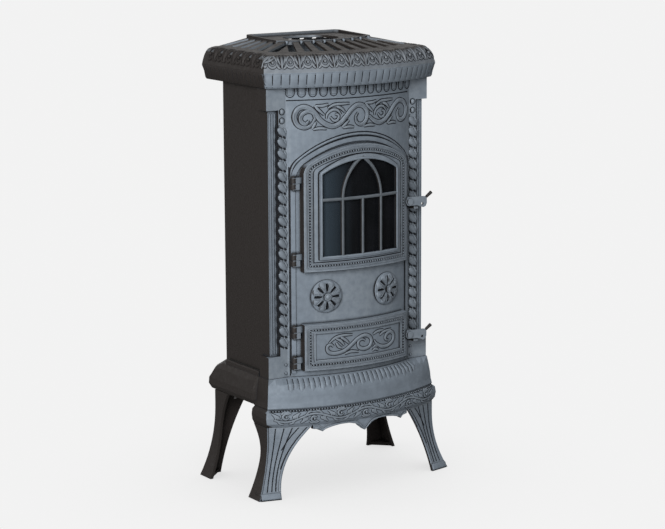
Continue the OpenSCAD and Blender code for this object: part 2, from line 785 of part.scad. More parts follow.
// Plan of the moulding: at its foot for t = 0, where the slope begins for t = 1
function crown_mix(t) = plan(
    body_half_w + rim_over + (ledge_half - body_half_w - rim_over) * t,
    -rim_over + (ledge_front + rim_over) * t,
    body_half_w + rim_over + (ledge_half - body_half_w - rim_over) * t,
    rim_rise + (ledge_rise - rim_rise) * t,
    side_depth + rim_rear - 8 * t, rear_y + rim_rear - 12 - 14 * t, 20 - 4 * t);
function crown_flat(inset) = plan(flat_half - inset, flat_front + inset, flat_half - inset,
    flat_rise, flat_rear - flat_cut - inset, flat_rear - inset, flat_cut);
crown_steps = [0, 0.04, 0.1, 0.18, 0.3, 0.45, 0.7, 1];
function crown_z(t) = rim_z + crown_h * (1 - pow(1 - t, 4));
function slot_field() = plan(ledge_half - slot_margin, ledge_front + slot_margin, ledge_half - slot_margin,
    ledge_rise - 3, ledge_rear - 6, ledge_rear - 6, 20);

module crown_shell() {
    lip_turn = atan((lip_h - lip_front) / (flat_rear - flat_front + flat_rise));
    difference() {
        loft(concat([for (t = crown_steps) crown_mix(t)], [crown_flat(0), crown_flat(0)]),
            concat([for (t = crown_steps) crown_z(t)], [flat_z, flat_z + lip_h + 1]));
        loft([crown_mix(0.16), crown_mix(0.3), crown_mix(0.45), crown_mix(1), crown_flat(4)],
            [rim_z - 1, rim_z + crown_h * 0.45, rim_z + crown_h * 0.61, ledge_z - crown_wall,
            flat_z - crown_wall]);
        translate([0, 0, flat_z]) linear_extrude(lip_h + 2) polygon(crown_flat(flat_lip));
        // The lip rises towards the back
        translate([-far / 2, flat_front - flat_rise, flat_z + lip_front]) rotate([lip_turn, 0, 0])
            translate([0, -flat_half, 0]) cube([far, far, far]);
    }
}

crown_mid = 150;
fan_y = 275;

// Slot that widens away from the point it starts from
module wedge(turn, pitch) {
    side = far * tan(pitch * slot_share / 2);
    rotate([0, 0, turn]) polygon([[0, 0], [far, -side], [far, side]]);
}

module crown_slots() {
    translate([0, 0, ledge_z - 15]) linear_extrude(dome_h + 40) {
        for (i = [0 : front_slots - 1]) translate([0, fan_y])
            wedge(-90 + (i - (front_slots - 1) / 2) * fan_pitch, fan_pitch);
        for (side = [0, 1]) mirror([side, 0]) for (i = [0 : side_slots - 1]) translate([0, crown_mid])
            wedge((i - side_slots / 2) * side_pitch, side_pitch);
        for (i = [0 : rear_slots - 1])
            translate([(i - (rear_slots - 1) / 2) * rear_pitch - rear_pitch * slot_share / 2, flat_rear])
                square([rear_pitch * slot_share, far]);
    }
}

module crown() {
    cast_black() place() difference() {
        crown_shell();
        intersection() {
            difference() {
                translate([0, 0, ledge_z - 14]) linear_extrude(dome_h + 30) polygon(slot_field());
                translate([0, 0, ledge_z - 15]) linear_extrude(dome_h + 32) polygon(crown_flat(-2));
            }
            crown_slots();
        }
        translate([0, crown_mid, flat_z - 20]) cylinder(r = crown_hole_r, h = 40);
    }
}

// ---- Flue ----

flange_t = 6;
flange_r = flue_r + flue_wall + 20;
bolt_ring_r = flue_r + flue_wall + 11;
module flue_bolt_places() {
    for (a = [45 : 90 : 315]) translate([bolt_ring_r * cos(a), rear_y, body_z + flue_z + bolt_ring_r * sin(a)])
        rotate([-90, 0, 0]) children();
}

module flue_collar() {
    cast_black() place() difference() {
        translate([0, rear_y, body_z + flue_z]) rotate([-90, 0, 0]) {
            cylinder(r = flue_r + flue_wall, h = flue_len);
            cylinder(r = flange_r, h = flange_t);
        }
        translate([0, rear_y - 1, body_z + flue_z]) rotate([-90, 0, 0]) cylinder(r = flue_r, h = flue_len + 2);
        flue_bolt_places() translate([0, 0, -1]) cylinder(d = 7, h = flange_t + 2, $fn = 24);
    }
}

module flue_bolts() {
    color([0.2, 0.2, 0.21]) place() flue_bolt_places() {
        translate([0, 0, -wall - 6]) cylinder(d = 6, h = wall + flange_t + 6, $fn = 24);
        translate([0, 0, flange_t]) cylinder(d = 12, h = 5, $fn = 6);
        translate([0, 0, -wall - 5]) cylinder(d = 12, h = 5, $fn = 6);
    }
}

// ---- Hinge pins, strikers and rosettes ----

module hinge_pins() {
    color([0.25, 0.25, 0.26]) place() for (z = all_hinges) {
        translate([-hinge_x, -hinge_y, z - knuckle_h - 2]) cylinder(r = pin_r, h = 2 * knuckle_h + 4);
        translate([-hinge_x, -hinge_y, z + knuckle_h + gap]) cylinder(r = pin_r + 1.5, h = 3);
    }
}

lever_half = 9.5;
lever_y = door_proud + 15;
lug_back = door_gap + 14.5;
finger_x = latch_x + 18.5;
finger_w = 8;
striker_w = 12;
fire_pivot_z = fire_z + fire_latch_z;
ash_pivot_z = ash_z + ash_latch_z;
module striker(z) {
    translate([finger_x - 1.5, 4 - lever_y, z - lever_half - gap - 9]) cube([striker_w, lever_y, 9]);
}
module latch_strikers() {
    color([0.27, 0.29, 0.31]) place() difference() {
        union() {
            striker(fire_pivot_z);
            striker(ash_pivot_z);
        }
        translate([0, bow_mid, 0]) cylinder(r = bow_r + 0.1, h = rim_z, $fn = 180);
        translate([bow_half - 2, 0, 0]) cube([far, far, rim_z]);
    }
}

module at_rosette(side) {
    place() on_bow(side * rosette_x, body_z + rosette_z) children();
}

module rosette_spindles() {
    color([0.28, 0.30, 0.32]) for (side = [-1, 1]) at_rosette(side) rotate([90, 0, 0]) {
        translate([0, 0, -wall - 2 * spindle_head])
            cylinder(r = spindle_r, h = wall + rosette_dome + 3 * spindle_head);
        translate([0, 0, rosette_dome + spindle_head]) cylinder(r = 2 * spindle_r, h = spindle_head);
        translate([0, 0, -wall - 1.5 * spindle_head]) cylinder(r = 2 * spindle_r, h = spindle_head + 1, $fn = 6);
    }
}

module rosette() {
    dome_edge = 3;
    difference() {
        rotate([90, 0, 0]) translate([0, 0, 0.6]) rotate_extrude() polygon(concat(
            [[spindle_r + run_gap, 0], [rosette_r, 0], [rosette_r, dome_edge - 1]],
            [for (i = [0 : 8]) let (t = i / 8) [rosette_r - 1 - (rosette_r - 12) * t,
                dome_edge + (rosette_dome - dome_edge) * (1 - pow(1 - t, 2))]],
            [[spindle_r + run_gap, rosette_dome]]));
        petal_slots(40);
    }
}
module air_rosette_left() { cast_black() at_rosette(-1) rosette(); }
module air_rosette_right() { cast_black() at_rosette(1) rosette(); }

// ---- Fire door ----

fire_outline = arch(door_half, fire_z, fire_spring, fire_apex, shoulder_r);
function inset_arch(d) = arch(door_half - d, fire_z + d, fire_spring - d * 0.15, fire_apex - d,
    shoulder_r - d * 0.6);
function window_arch(d) = arch(window_half + d, sill_z - d, sill_z + window_side_h,
    sill_z + window_side_h + window_arch_rise + d, 6 + abs(d) / 2);

module knuckle_on_door(z) {
    translate([-hinge_x, -hinge_y, z + gap]) cylinder(r = knuckle_r, h = knuckle_h - gap);
    translate([-hinge_x, -hinge_y - knuckle_r, z + gap])
        cube([hinge_x - door_half + 3, knuckle_r - 0.4, knuckle_h - gap]);
}

module knuckle_bore(z) {
    translate([-hinge_x, -hinge_y, z - 1]) cylinder(r = pin_r + run_gap, h = knuckle_h + 2);
}

module latch_lug(z) {
    translate([latch_x, -lug_back, z]) rotate([90, 0, 0])
        cylinder(r = lever_half, h = lever_y - gap - lug_back);
}

module latch_bore(z) {
    translate([latch_x, -lug_back - 3, z]) rotate([90, 0, 0]) cylinder(r = 3 + run_gap, h = lever_y);
}

pane_front = door_proud - door_face - 0.2;
arch_leg = sill_z + transom_z;
arch_top = sill_z + window_side_h + window_arch_rise;
lancet_rise = arch_top - arch_leg;
lancet_hub = (pow(lancet_rise, 2) - pow(bar_pitch, 2)) / (2 * bar_pitch);
lancet_r = lancet_hub + bar_pitch;
lancet_turn = asin(lancet_rise / lancet_r);
lancet_n = 12;
function lancet_limb(grow) = [for (i = [0 : lancet_n]) let (a = 180 - lancet_turn * i / lancet_n)
    [lancet_hub + (lancet_r + grow) * cos(a), arch_leg + (lancet_r + grow) * sin(a)]];

module window_bars() {
    intersection() {
        bow_wall(door_proud - 1, door_proud + window_relief - 0.5, sill_z - 5, arch_top + 5);
        union() {
            for (i = [-1 : 1]) translate([i * bar_pitch - bar_w / 2, -far / 4, sill_z - 4])
                cube([bar_w, far / 3, transom_z + 4]);
            translate([-window_half - 3, -far / 4, arch_leg - bar_w / 2])
                cube([2 * window_half + 6, far / 3, bar_w]);
            intersection() {
                through(window_arch(2));
                mirrored() through(concat(lancet_limb(-bar_w / 2),
                    [for (i = [lancet_n : -1 : 0]) lancet_limb(bar_w / 2)[i]]));
            }
        }
    }
}

module window_frame() {
    difference() {
        bow_panel(window_arch(window_rim), door_proud - 1, door_proud + window_relief);
        through(window_arch(0));
    }
}

module fire_door() {
    cast_black() place() difference() {
        union() {
            difference() {
                bow_panel(fire_outline, door_back, door_proud);
                bow_panel(inset_arch(door_rim), door_back - 1, door_proud - door_face);
                through(window_arch(0));
            }
            window_bars();
            window_frame();
            clip_places() translate([0, 0, clip_back]) cylinder(r = clip_boss_r, h = door_proud - clip_back - 2);
            for (z = fire_hinges) knuckle_on_door(z);
            latch_lug(fire_pivot_z);
        }
        for (z = fire_hinges) knuckle_bore(z);
        latch_bore(fire_pivot_z);
        clip_places() translate([0, 0, 1]) cylinder(r = 2 + run_gap, h = door_proud - 3);
    }
}

module window_pane() {
    color([0.1, 0.12, 0.14, 0.4]) place()
        bow_panel(window_arch(8), pane_front - pane_t, pane_front);
}

clip_w = 22;
clip_boss_r = 3.4;
clip_heights = [60, 150];
clip_back = pane_front - pane_t - 0.2;
clip_screw_x = window_half + 8 + clip_boss_r + 0.8;

// Screw positions beside the pane, looking out of the front
module clip_places() {
    for (side = [-1, 1]) for (h = clip_heights)
        on_bow(side * clip_screw_x, sill_z + h) rotate([90, 0, 0]) children();
}
module pane_clips() {
    color([0.4, 0.4, 0.42]) place() for (side = [-1, 1]) for (h = clip_heights)
        on_bow(side * clip_screw_x, sill_z + h) difference() {
            translate([side > 0 ? -13 : -6, -clip_back, -clip_w / 2]) cube([19, 2, clip_w]);
            rotate([90, 0, 0]) cylinder(r = 2 + run_gap, h = 40);
        }
}
module clip_screws() {
    color([0.45, 0.45, 0.47]) place() clip_places() {
        translate([0, 0, clip_back - 4]) cylinder(r = 3.6, h = 2);
        translate([0, 0, clip_back - 3]) cylinder(r = 2, h = door_proud - clip_back - 1);
    }
}

module fire_door_seal() {
    color([0.75, 0.73, 0.68]) place() difference() {
        bow_panel(inset_arch(1), 0.5, door_back - 0.1);
        bow_panel(inset_arch(door_rim - 1), 0, door_back + 1);
    }
}

module latch_pivot(z) {
    translate([latch_x, -lug_back - 3, z]) rotate([90, 0, 0]) {
        cylinder(r = 3, h = lever_y + lever_t + gap - lug_back - 3 + 1);
        translate([0, 0, lever_y + lever_t + gap - lug_back - 3]) cylinder(r = 7, h = 3);
    }
}
module fire_latch_pivot() { color([0.25, 0.25, 0.26]) place() latch_pivot(fire_pivot_z); }

// ---- Ash door ----

ash_outline = box_outline(door_half, ash_z, ash_z + ash_door_h);
function ash_inset(d) = box_outline(door_half - d, ash_z + d, ash_z + ash_door_h - d);
panel_recess = 2;
module ash_door() {
    cast_black() place() difference() {
        union() {
            difference() {
                bow_panel(ash_outline, door_back, door_proud);
                bow_panel(ash_inset(door_rim), door_back - 1, door_proud - door_face);
                bow_panel(ash_inset(22), door_proud - panel_recess, door_proud + 1);
            }
            for (z = ash_hinges) knuckle_on_door(z);
            latch_lug(ash_pivot_z);
        }
        for (z = ash_hinges) knuckle_bore(z);
        latch_bore(ash_pivot_z);
    }
}
module ash_door_seal() {
    color([0.75, 0.73, 0.68]) place() difference() {
        bow_panel(ash_inset(1), 0.5, door_back - 0.1);
        bow_panel(ash_inset(door_rim - 1), 0, door_back + 1);
    }
}
module ash_latch_pivot() { color([0.25, 0.25, 0.26]) place() latch_pivot(ash_pivot_z); }

// ---- Latch levers ----

grip_tilt = 35;
module lever(z) {
    translate([latch_x, -lever_y, z]) rotate([90, 0, 0]) difference() {
        linear_extrude(lever_t) union() {
            circle(r = lever_half);
            polygon([[0, -lever_half], [lever_len * 0.45, -lever_half], [lever_len * 0.62, -12.5],
                [lever_len * 0.8, -15.5], [lever_len * 0.93, -13.5], [lever_len, -7], [lever_len, 4],
                [lever_len - 5, lever_half - 1], [0, lever_half]]);
        }
        translate([0, 0, -1]) cylinder(r = 3 + run_gap, h = lever_t + 2);
        translate([lever_len * 0.74, -7, -1]) cylinder(r = 3, h = lever_t + 2);
    }
    // Finger that rests on the striker
    translate([finger_x, -lever_y - 1, z - lever_half]) cube([finger_w, lever_y - 17, 8]);
}
module grip(z) {
    translate([latch_x + lever_len - 4, -lever_y - lever_t / 2, z + 4]) rotate([0, 90 - grip_tilt, 0]) {
        cylinder(r = 2.4, h = 6, $fn = 32);
        translate([0, 0, 5]) cylinder(r1 = 3.2, r2 = 3.8, h = grip_len - 5, $fn = 32);
    }
}
module fire_latch() { color([0.28, 0.31, 0.34]) place() lever(fire_pivot_z); }
module fire_latch_grip() { color([0.2, 0.2, 0.2]) place() grip(fire_pivot_z); }
module ash_latch() { color([0.28, 0.31, 0.34]) place() lever(ash_pivot_z); }
module ash_latch_grip() { color([0.2, 0.2, 0.2]) place() grip(ash_pivot_z); }

base_casting();
leg_front_left();
leg_front_right();
leg_rear_left();
leg_rear_right();
leg_bolts();
front_plate();
side_plate_left();
side_plate_right();
back_plate();
grate_shelf();
fire_grate();
brick_left();
brick_right();
brick_back();
baffle_plate();
pan_runners();
ash_pan();
ash_pan_handle();
top_plate();
hotplate_lid();
cornice();
crown();
flue_collar();
flue_bolts();
hinge_pins();
latch_strikers();
rosette_spindles();
air_rosette_left();
air_rosette_right();
fire_door();
window_pane();
pane_clips();
clip_screws();
fire_door_seal();
fire_latch_pivot();
ash_door();
ash_door_seal();
ash_latch_pivot();
fire_latch();
fire_latch_grip();
ash_latch();
ash_latch_grip();
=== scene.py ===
import math

import bmesh
import bpy
from mathutils import Matrix, Vector
from mathutils.bvhtree import BVHTree


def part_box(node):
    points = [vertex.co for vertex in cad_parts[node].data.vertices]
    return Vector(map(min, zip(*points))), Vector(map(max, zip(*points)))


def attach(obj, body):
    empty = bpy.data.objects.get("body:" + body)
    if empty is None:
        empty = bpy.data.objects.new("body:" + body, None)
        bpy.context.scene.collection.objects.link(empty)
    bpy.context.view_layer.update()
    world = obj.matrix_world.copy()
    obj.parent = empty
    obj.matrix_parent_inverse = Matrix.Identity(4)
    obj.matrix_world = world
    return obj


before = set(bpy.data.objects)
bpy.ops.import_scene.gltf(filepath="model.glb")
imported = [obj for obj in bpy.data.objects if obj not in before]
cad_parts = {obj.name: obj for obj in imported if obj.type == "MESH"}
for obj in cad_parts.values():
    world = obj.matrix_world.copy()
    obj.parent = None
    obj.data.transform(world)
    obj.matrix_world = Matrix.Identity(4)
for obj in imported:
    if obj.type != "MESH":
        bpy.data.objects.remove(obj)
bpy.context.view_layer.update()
scene = bpy.context.scene
print("room stove: frame loaded")

# Sizes are in millimetres: x to the right, y to the back, z up from the floor
stove = {
    "bowHalf": 160,  # half width of the bowed part of the front
    "bowRise": 36,
    "doorProud": 17,  # face of the doors in front of the body
    "frameProud": 3,  # moulding round the door in front of the body
    "halfWidth": 208,
    "stepX": 178,  # where the corner shafts step back
    "stepBack": 8,
    "baseHalf": 216,
    "baseRise": 53,
    "rimHalf": 221,
    "rimRise": 58,
    "rimOver": 13,
    "baseOver": 8,
    "proudSpread": 0.43,  # growth of the bowed half width for each mm that a face stands proud
}
plateLow, plateHigh = [corner * 1000 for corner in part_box("front_plate")]
bodyLow = plateLow.z
bodyTop = plateHigh.z
bowRadius = (stove["bowHalf"] ** 2 + stove["bowRise"] ** 2) / (2 * stove["bowRise"])
frontY = plateLow.y + stove["bowRise"] + stove["frameProud"]
bowMid = frontY + bowRadius - stove["bowRise"]


# Shader nodes for the finishes
def feed(tree, node, links):
    # Links sockets, or sets a constant on the node's own socket
    for socket, value in links.items():
        if isinstance(value, bpy.types.NodeSocket):
            tree.links.new(value, node.inputs[socket])
        else:
            node.inputs[socket].default_value = value


def addNode(tree, kind, links=None, **values):
    made = tree.nodes.new(kind)
    for name, value in values.items():
        setattr(made, name, value)
    feed(tree, made, links or {})
    return made


def newFinish(name):
    finish = bpy.data.materials.new(name)
    finish.use_nodes = True
    tree = finish.node_tree
    return finish, tree, tree.nodes["Principled BSDF"]


def coords(tree, kind="Object"):
    return addNode(tree, "ShaderNodeTexCoord").outputs[kind]


def noise(tree, place, scale, detail, roughness=0.5):
    links = {"Vector": place, "Scale": scale, "Detail": detail, "Roughness": roughness}
    return addNode(tree, "ShaderNodeTexNoise", links).outputs["Fac"]


def calc(tree, operation, *values, **settings):
    links = dict(enumerate(values))
    return addNode(tree, "ShaderNodeMath", links, operation=operation, **settings).outputs[0]


def ramp(tree, source, low, high):
    # Goes from one (place, colour) to the other
    made = addNode(tree, "ShaderNodeValToRGB", {0: source})
    for element, (place, colour) in zip(made.color_ramp.elements, (low, high)):
        element.position = place
        element.color = (*colour, 1)
    return made.outputs[0]


def grey(value):
    return (value, value, value)


def greyRamp(tree, source, low, high):
    return ramp(tree, source, (low[0], grey(low[1])), (high[0], grey(high[1])))


def blend(tree, factor, first, second, mode="MIX"):
    first, second = ((*value, 1) if isinstance(value, tuple) else value for value in (first, second))
    links = {0: factor, 6: first, 7: second}
    return addNode(tree, "ShaderNodeMix", links, data_type="RGBA", blend_type=mode).outputs[2]


def bump(tree, height, strength, distance, **under):
    links = {"Strength": strength, "Distance": distance, "Height": height, **under}
    return addNode(tree, "ShaderNodeBump", links).outputs["Normal"]


sideShadeTone = (0.023, 0.0195, 0.018)


def castIron(name, tone, worn, creviceShade, grain=1.0, roughness=(0.52, 0.72), metallic=0.12,
             specular=0.22, top=None, shadeBehind=None):
    # Sand-cast iron: graphite rubbed on worn edges, with painted shade on faces turned sideways or back and
    # in hollows
    finish, tree, shader = newFinish(name)
    place = coords(tree)
    patch = noise(tree, place, 75.0, 4.0)
    sand = noise(tree, place, 620.0, 3.0, 0.6)
    pits = addNode(tree, "ShaderNodeTexVoronoi", {"Vector": place, "Scale": 240.0, "Randomness": 1.0})
    light = tuple(channel * 1.10 for channel in tone)
    dark = tuple(channel * 0.90 for channel in tone)
    base = ramp(tree, noise(tree, place, 11.0, 5.0, 0.62), (0.32, dark), (0.68, light))
    base = blend(tree, 1.0, base, greyRamp(tree, patch, (0.35, 0.93), (0.65, 1.05)), "MULTIPLY")
    corners = addNode(tree, "ShaderNodeNewGeometry").outputs["Pointiness"]
    edge = greyRamp(tree, corners, (0.53, 0), (0.66, 1))
    rub = greyRamp(tree, patch, (0.3, 0.15), (0.7, 0.6))
    base = blend(tree, blend(tree, 1.0, edge, rub, "MULTIPLY"), base, worn)
    facing = addNode(tree, "ShaderNodeSeparateXYZ", {"Vector": coords(tree, "Normal")}).outputs
    # Painted shade: faces that look up take the darker top colour
    if top:
        base = blend(tree, greyRamp(tree, facing["Z"], (0.62, 0), (0.90, 1)), base, top)
    # Painted shade: faces that turn sideways or back take the dark side tone
    sideways = calc(tree, "ABSOLUTE", facing["X"])
    backward = calc(tree, "ADD", facing["Y"], 0.25)
    sideShadeMask = greyRamp(tree, calc(tree, "MAXIMUM", sideways, backward), (0.62, 0), (0.86, 1))
    base = blend(tree, sideShadeMask, base, sideShadeTone)
    if shadeBehind:
        # Past this depth, which leans with height, the casting has turned the corner and takes the painted
        # side shade
        limit, lean = shadeBehind
        spot = addNode(tree, "ShaderNodeSeparateXYZ", {"Vector": place}).outputs
        depth = calc(tree, "MULTIPLY_ADD", spot["Z"], -lean, spot["Y"])
        base = blend(tree, calc(tree, "GREATER_THAN", depth, limit), base, sideShadeTone)
    # Painted shade: hollows found by ambient occlusion darken towards the crevice colour
    hollowShade = addNode(tree, "ShaderNodeAmbientOcclusion", {"Distance": 0.009}, samples=8).outputs["AO"]
    low, high = roughness
    fine = bump(tree, blend(tree, 0.35, sand, pits.outputs["Distance"]), 0.55, 0.00045 * grain)
    feed(tree, shader, {
        "Base Color": blend(tree, greyRamp(tree, hollowShade, (0.45, 0), (0.88, 1)), creviceShade, base),
        "Roughness": greyRamp(tree, patch, (0.3, high), (0.7, low)),
        "Metallic": metallic,
        "Specular IOR Level": specular,
        "Normal": bump(tree, patch, 0.30, 0.0016, Normal=fine),
    })
    return finish


# Tone, worn edges, and painted shade for hollows
graphite = ((0.205, 0.244, 0.290), (0.30, 0.34, 0.38), (0.014, 0.016, 0.020))
sooted = ((0.190, 0.215, 0.245), (0.30, 0.32, 0.34), (0.008, 0.008, 0.009))
crownTopShade = (0.062, 0.058, 0.056)
dull = {"roughness": (0.7, 0.9), "metallic": 0.0, "specular": 0.1}
frontIron = castIron("frontIron", *graphite)
baseIron = castIron("baseIron", *graphite, shadeBehind=(-0.1513, 0.17))
legIron = castIron("legIron", *graphite, shadeBehind=(-0.1303, 0.154))
plateIron = castIron("plateIron", *graphite, shadeBehind=(-0.0995, 0.0))
tongueIron = castIron("tongueIron", *graphite, shadeBehind=(-0.112, 0.0))
crownIron = castIron("crownIron", *sooted, top=crownTopShade)
berryIron = castIron("berryIron", *sooted, top=crownTopShade, shadeBehind=(-0.8576, 0.8))
reliefIron = castIron("reliefIron", (0.205, 0.242, 0.285), (0.33, 0.37, 0.41), (0.008, 0.010, 0.013))
barIron = castIron("barIron", (0.115, 0.132, 0.150), (0.17, 0.19, 0.21), (0.010, 0.011, 0.012))
# Painted shade: near-black, dull iron for the dark strands in grooves and round the relief
grooveShadeIron = castIron("grooveShadeIron", (0.014, 0.016, 0.020), (0.03, 0.032, 0.035), (0.006, 0.007, 0.008),
                      **dull)
# Painted shade: a darker copy of the cast iron, for the side, back and rear castings
sideShadeIron = castIron("sideShadeIron", (0.026, 0.022, 0.0205), (0.045, 0.041, 0.038), (0.008, 0.007, 0.006),
                    grain=1.3)
sootIron = castIron("sootIron", (0.022, 0.020, 0.019), (0.05, 0.048, 0.045), grey(0.006), grain=1.6,
                    **dull)


def darkSteel(name, tone):
    # Turned steel, browned by heat, with fine turning marks
    finish, tree, shader = newFinish(name)
    place = coords(tree)
    heat = noise(tree, place, 60.0, 4.0)
    brown = (tone[0] * 0.95, tone[1] * 0.86, tone[2] * 0.80)
    feed(tree, shader, {
        "Base Color": ramp(tree, heat, (0.35, brown), (0.65, tone)),
        "Roughness": greyRamp(tree, heat, (0.3, 0.65), (0.7, 0.50)),
        "Metallic": 0.4,
        "Normal": bump(tree, noise(tree, place, 900.0, 2.0), 0.4, 0.0002),
    })
    return finish


pinSteel = darkSteel("pinSteel", (0.026, 0.024, 0.024))
boltSteel = darkSteel("boltSteel", (0.10, 0.10, 0.105))
panSteel = darkSteel("panSteel", (0.20, 0.20, 0.21))


def firebrick():
    finish, tree, shader = newFinish("firebrick")
    place = coords(tree)
    clay = noise(tree, place, 45.0, 8.0, 0.7)
    base = ramp(tree, clay, (0.35, (0.13, 0.105, 0.085)), (0.65, (0.24, 0.20, 0.165)))
    cover = greyRamp(tree, noise(tree, place, 7.0, 4.0), (0.38, 0.15), (0.60, 0.92))
    feed(tree, shader, {
        "Base Color": blend(tree, cover, base, (0.02, 0.018, 0.017)),
        "Roughness": 0.9,
        "Normal": bump(tree, clay, 0.7, 0.001),
    })
    return finish


def sealRope():
    # Woven glass rope: short slanted stitches over a pale, sooted cord
    finish, tree, shader = newFinish("sealRope")
    place = coords(tree)
    weave = addNode(tree, "ShaderNodeTexWave", {"Vector": place, "Scale": 260.0, "Distortion": 1.5},
                    bands_direction="DIAGONAL").outputs["Fac"]
    base = ramp(tree, weave, (0.2, (0.10, 0.095, 0.085)), (0.8, (0.30, 0.285, 0.26)))
    cover = greyRamp(tree, noise(tree, place, 30.0, 4.0), (0.4, 0.1), (0.7, 0.8))
    feed(tree, shader, {
        "Base Color": blend(tree, cover, base, (0.03, 0.028, 0.026)),
        "Roughness": 0.95,
        "Normal": bump(tree, weave, 0.8, 0.0008),
    })
    return finish


def stoveGlass():
    # Heat-proof glass, smoked from inside, with painted bluish light towards the hinge side
    finish, tree, shader = newFinish("stoveGlass")
    place = coords(tree)
    across = addNode(tree, "ShaderNodeSeparateXYZ", {"Vector": place}).outputs["X"]
    span = addNode(tree, "ShaderNodeMapRange", {"Value": across, "From Min": -0.10, "From Max": -0.02})
    smoke = noise(tree, place, 9.0, 5.0)
    base = ramp(tree, smoke, (0.35, (0.006, 0.007, 0.008)), (0.70, (0.012, 0.013, 0.016)))
    # Painted light: a bluish glow over the hinge side of the glass
    paintedPaneLight = greyRamp(tree, span.outputs[0], (0.0, 0.95), (1.0, 0.0))
    feed(tree, shader, {
        "Base Color": blend(tree, paintedPaneLight, base, (0.046, 0.066, 0.086)),
        "Roughness": greyRamp(tree, noise(tree, place, 60.0, 3.0), (0.4, 0.05), (0.7, 0.14)),
        "IOR": 1.47,
        "Specular IOR Level": 0.12,
        "Alpha": 0.86,
    })
    return finish


finishes = {
    baseIron: ["base_casting"],
    legIron: ["leg_front_left", "leg_front_right"],
    plateIron: ["front_plate"],
    frontIron: ["fire_door", "ash_door", "cornice", "air_rosette_left", "air_rosette_right", "fire_latch",
                "ash_latch"],
    crownIron: ["crown"],
    sideShadeIron: ["side_plate_left", "side_plate_right", "back_plate", "leg_rear_left", "leg_rear_right",
               "flue_collar"],
    sootIron: ["grate_shelf", "fire_grate", "baffle_plate", "top_plate", "hotplate_lid", "pan_runners"],
    reliefIron: ["latch_strikers", "fire_latch_pivot", "ash_latch_pivot", "rosette_spindles"],
    pinSteel: ["hinge_pins", "fire_latch_grip", "ash_latch_grip"],
    boltSteel: ["leg_bolts", "flue_bolts", "pane_clips", "clip_screws"],
    panSteel: ["ash_pan", "ash_pan_handle"],
    firebrick(): ["brick_left", "brick_right", "brick_back"],
    sealRope(): ["fire_door_seal", "ash_door_seal"],
    stoveGlass(): ["window_pane"],
}
for finish, names in finishes.items():
    for name in names:
        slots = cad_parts[name].data.materials
        slots.clear()
        slots.append(finish)
print("room stove: castings painted")


# How relief is laid on the castings
def frontSkin(proud=0.0):
    # Point and outward direction on the front, or on a door that stands proud of it
    reach = bowRadius + proud

    def at(x, z):
        if abs(x) >= stove["bowHalf"] + proud * stove["proudSpread"]:
            back = stove["stepBack"] if abs(x) > stove["stepX"] else 0
            return Vector((x, frontY - proud + back, z)), Vector((0, -1, 0))
        angle = math.asin(x / reach)
        out = Vector((math.sin(angle), -math.cos(angle), 0))
        return Vector((0, bowMid, z)) + out * reach, out
    return at


def skinTree(node):
    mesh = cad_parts[node].data
    spots = [vert.co * 1000 for vert in mesh.vertices]
    return BVHTree.FromPolygons(spots, [face.vertices for face in mesh.polygons])


def castSkin(node):
    # Point and outward direction where a line from the front first meets a casting
    tree = skinTree(node)

    def at(x, z):
        spot, out = tree.ray_cast(Vector((x, -600, z)), Vector((0, 1, 0)))[:2]
        if spot is None:
            spot, out = tree.find_nearest(Vector((x, frontY, z)))[:2]
        return spot, out
    return at


def planPath(half, rise, front):
    # Walks the plan of a moulding: along its bow, then down both sides
    radius = (half * half + rise * rise) / (2 * rise)
    bowEnd = radius * math.asin(half / radius)

    def at(s):
        if abs(s) <= bowEnd:
            angle = s / radius
            out = Vector((math.sin(angle), -math.cos(angle), 0))
            return Vector((0, front - rise + radius, 0)) + out * radius, out
        side = 1 if s > 0 else -1
        return Vector((side * half, front + abs(s) - bowEnd, 0)), Vector((side, 0, 0))
    return at, bowEnd


def pathSkin(node, path, lift=0.0, tilt=0.0):
    # As castSkin, for s along a path and w up the moulding, looking in at a slope of tilt degrees
    tree = skinTree(node)
    rise = math.cos(math.radians(tilt))
    run = math.sin(math.radians(tilt))

    def at(s, w):
        spot, out = path(s)
        up = Vector((0, 0, rise)) - out * run
        aim = -out * rise - Vector((0, 0, run))
        start = spot + Vector((0, 0, lift)) + up * w
        hit, face = tree.ray_cast(start - aim * 120, aim)[:2]
        if hit is None:
            hit, face = tree.find_nearest(start)[:2]
        return hit, face
    return at


def strands(lines, sides, closed):
    # Rounded strands from lists of (x, z, radius), drawn flat before they are laid
    curve = bpy.data.curves.new("strands", "CURVE")
    curve.dimensions = "3D"
    curve.bevel_depth = 1.0
    curve.bevel_resolution = sides
    curve.use_fill_caps = not closed
    for line in lines:
        spline = curve.splines.new("POLY")
        spline.points.add(len(line) - 1)
        spline.use_cyclic_u = closed
        for point, (x, z, radius) in zip(spline.points, line):
            point.co = (x, 0, z, 1)
            point.radius = radius
    holder = bpy.data.objects.new("strands", curve)
    mesh = bpy.data.meshes.new_from_object(holder)
    bm = bmesh.new()
    bm.from_mesh(mesh)
    bpy.data.objects.remove(holder)
    bpy.data.curves.remove(curve)
    bpy.data.meshes.remove(mesh)
    return bm


def lay(bm, skin, rise, lift=0.0):
    # Bends a flat drawing onto a casting; rise is its height as a share of its drawn thickness
    for vert in bm.verts:
        spot, out = skin(vert.co.x, vert.co.z)
        vert.co = spot + out * (lift - vert.co.y * rise)
    return bm


def relief(lines, sides, skin, rise, lift=0.0, closed=False):
    return lay(strands(lines, sides, closed), skin, rise, lift)


def shadedGrooves(name, body, lines, skin, spread=0.0, closed=False):
    # Painted shade that outlines the relief: low dark strands, a little wider than what stands on them
    bm = strands([[(x, z, radius + spread) for x, z, radius in line] for line in lines], 1, closed)
    for vert in bm.verts:
        vert.co.y = math.copysign(min(abs(vert.co.y), 0.4), vert.co.y)
    makePiece(name, body, grooveShadeIron, lay(bm, skin, 1.0))


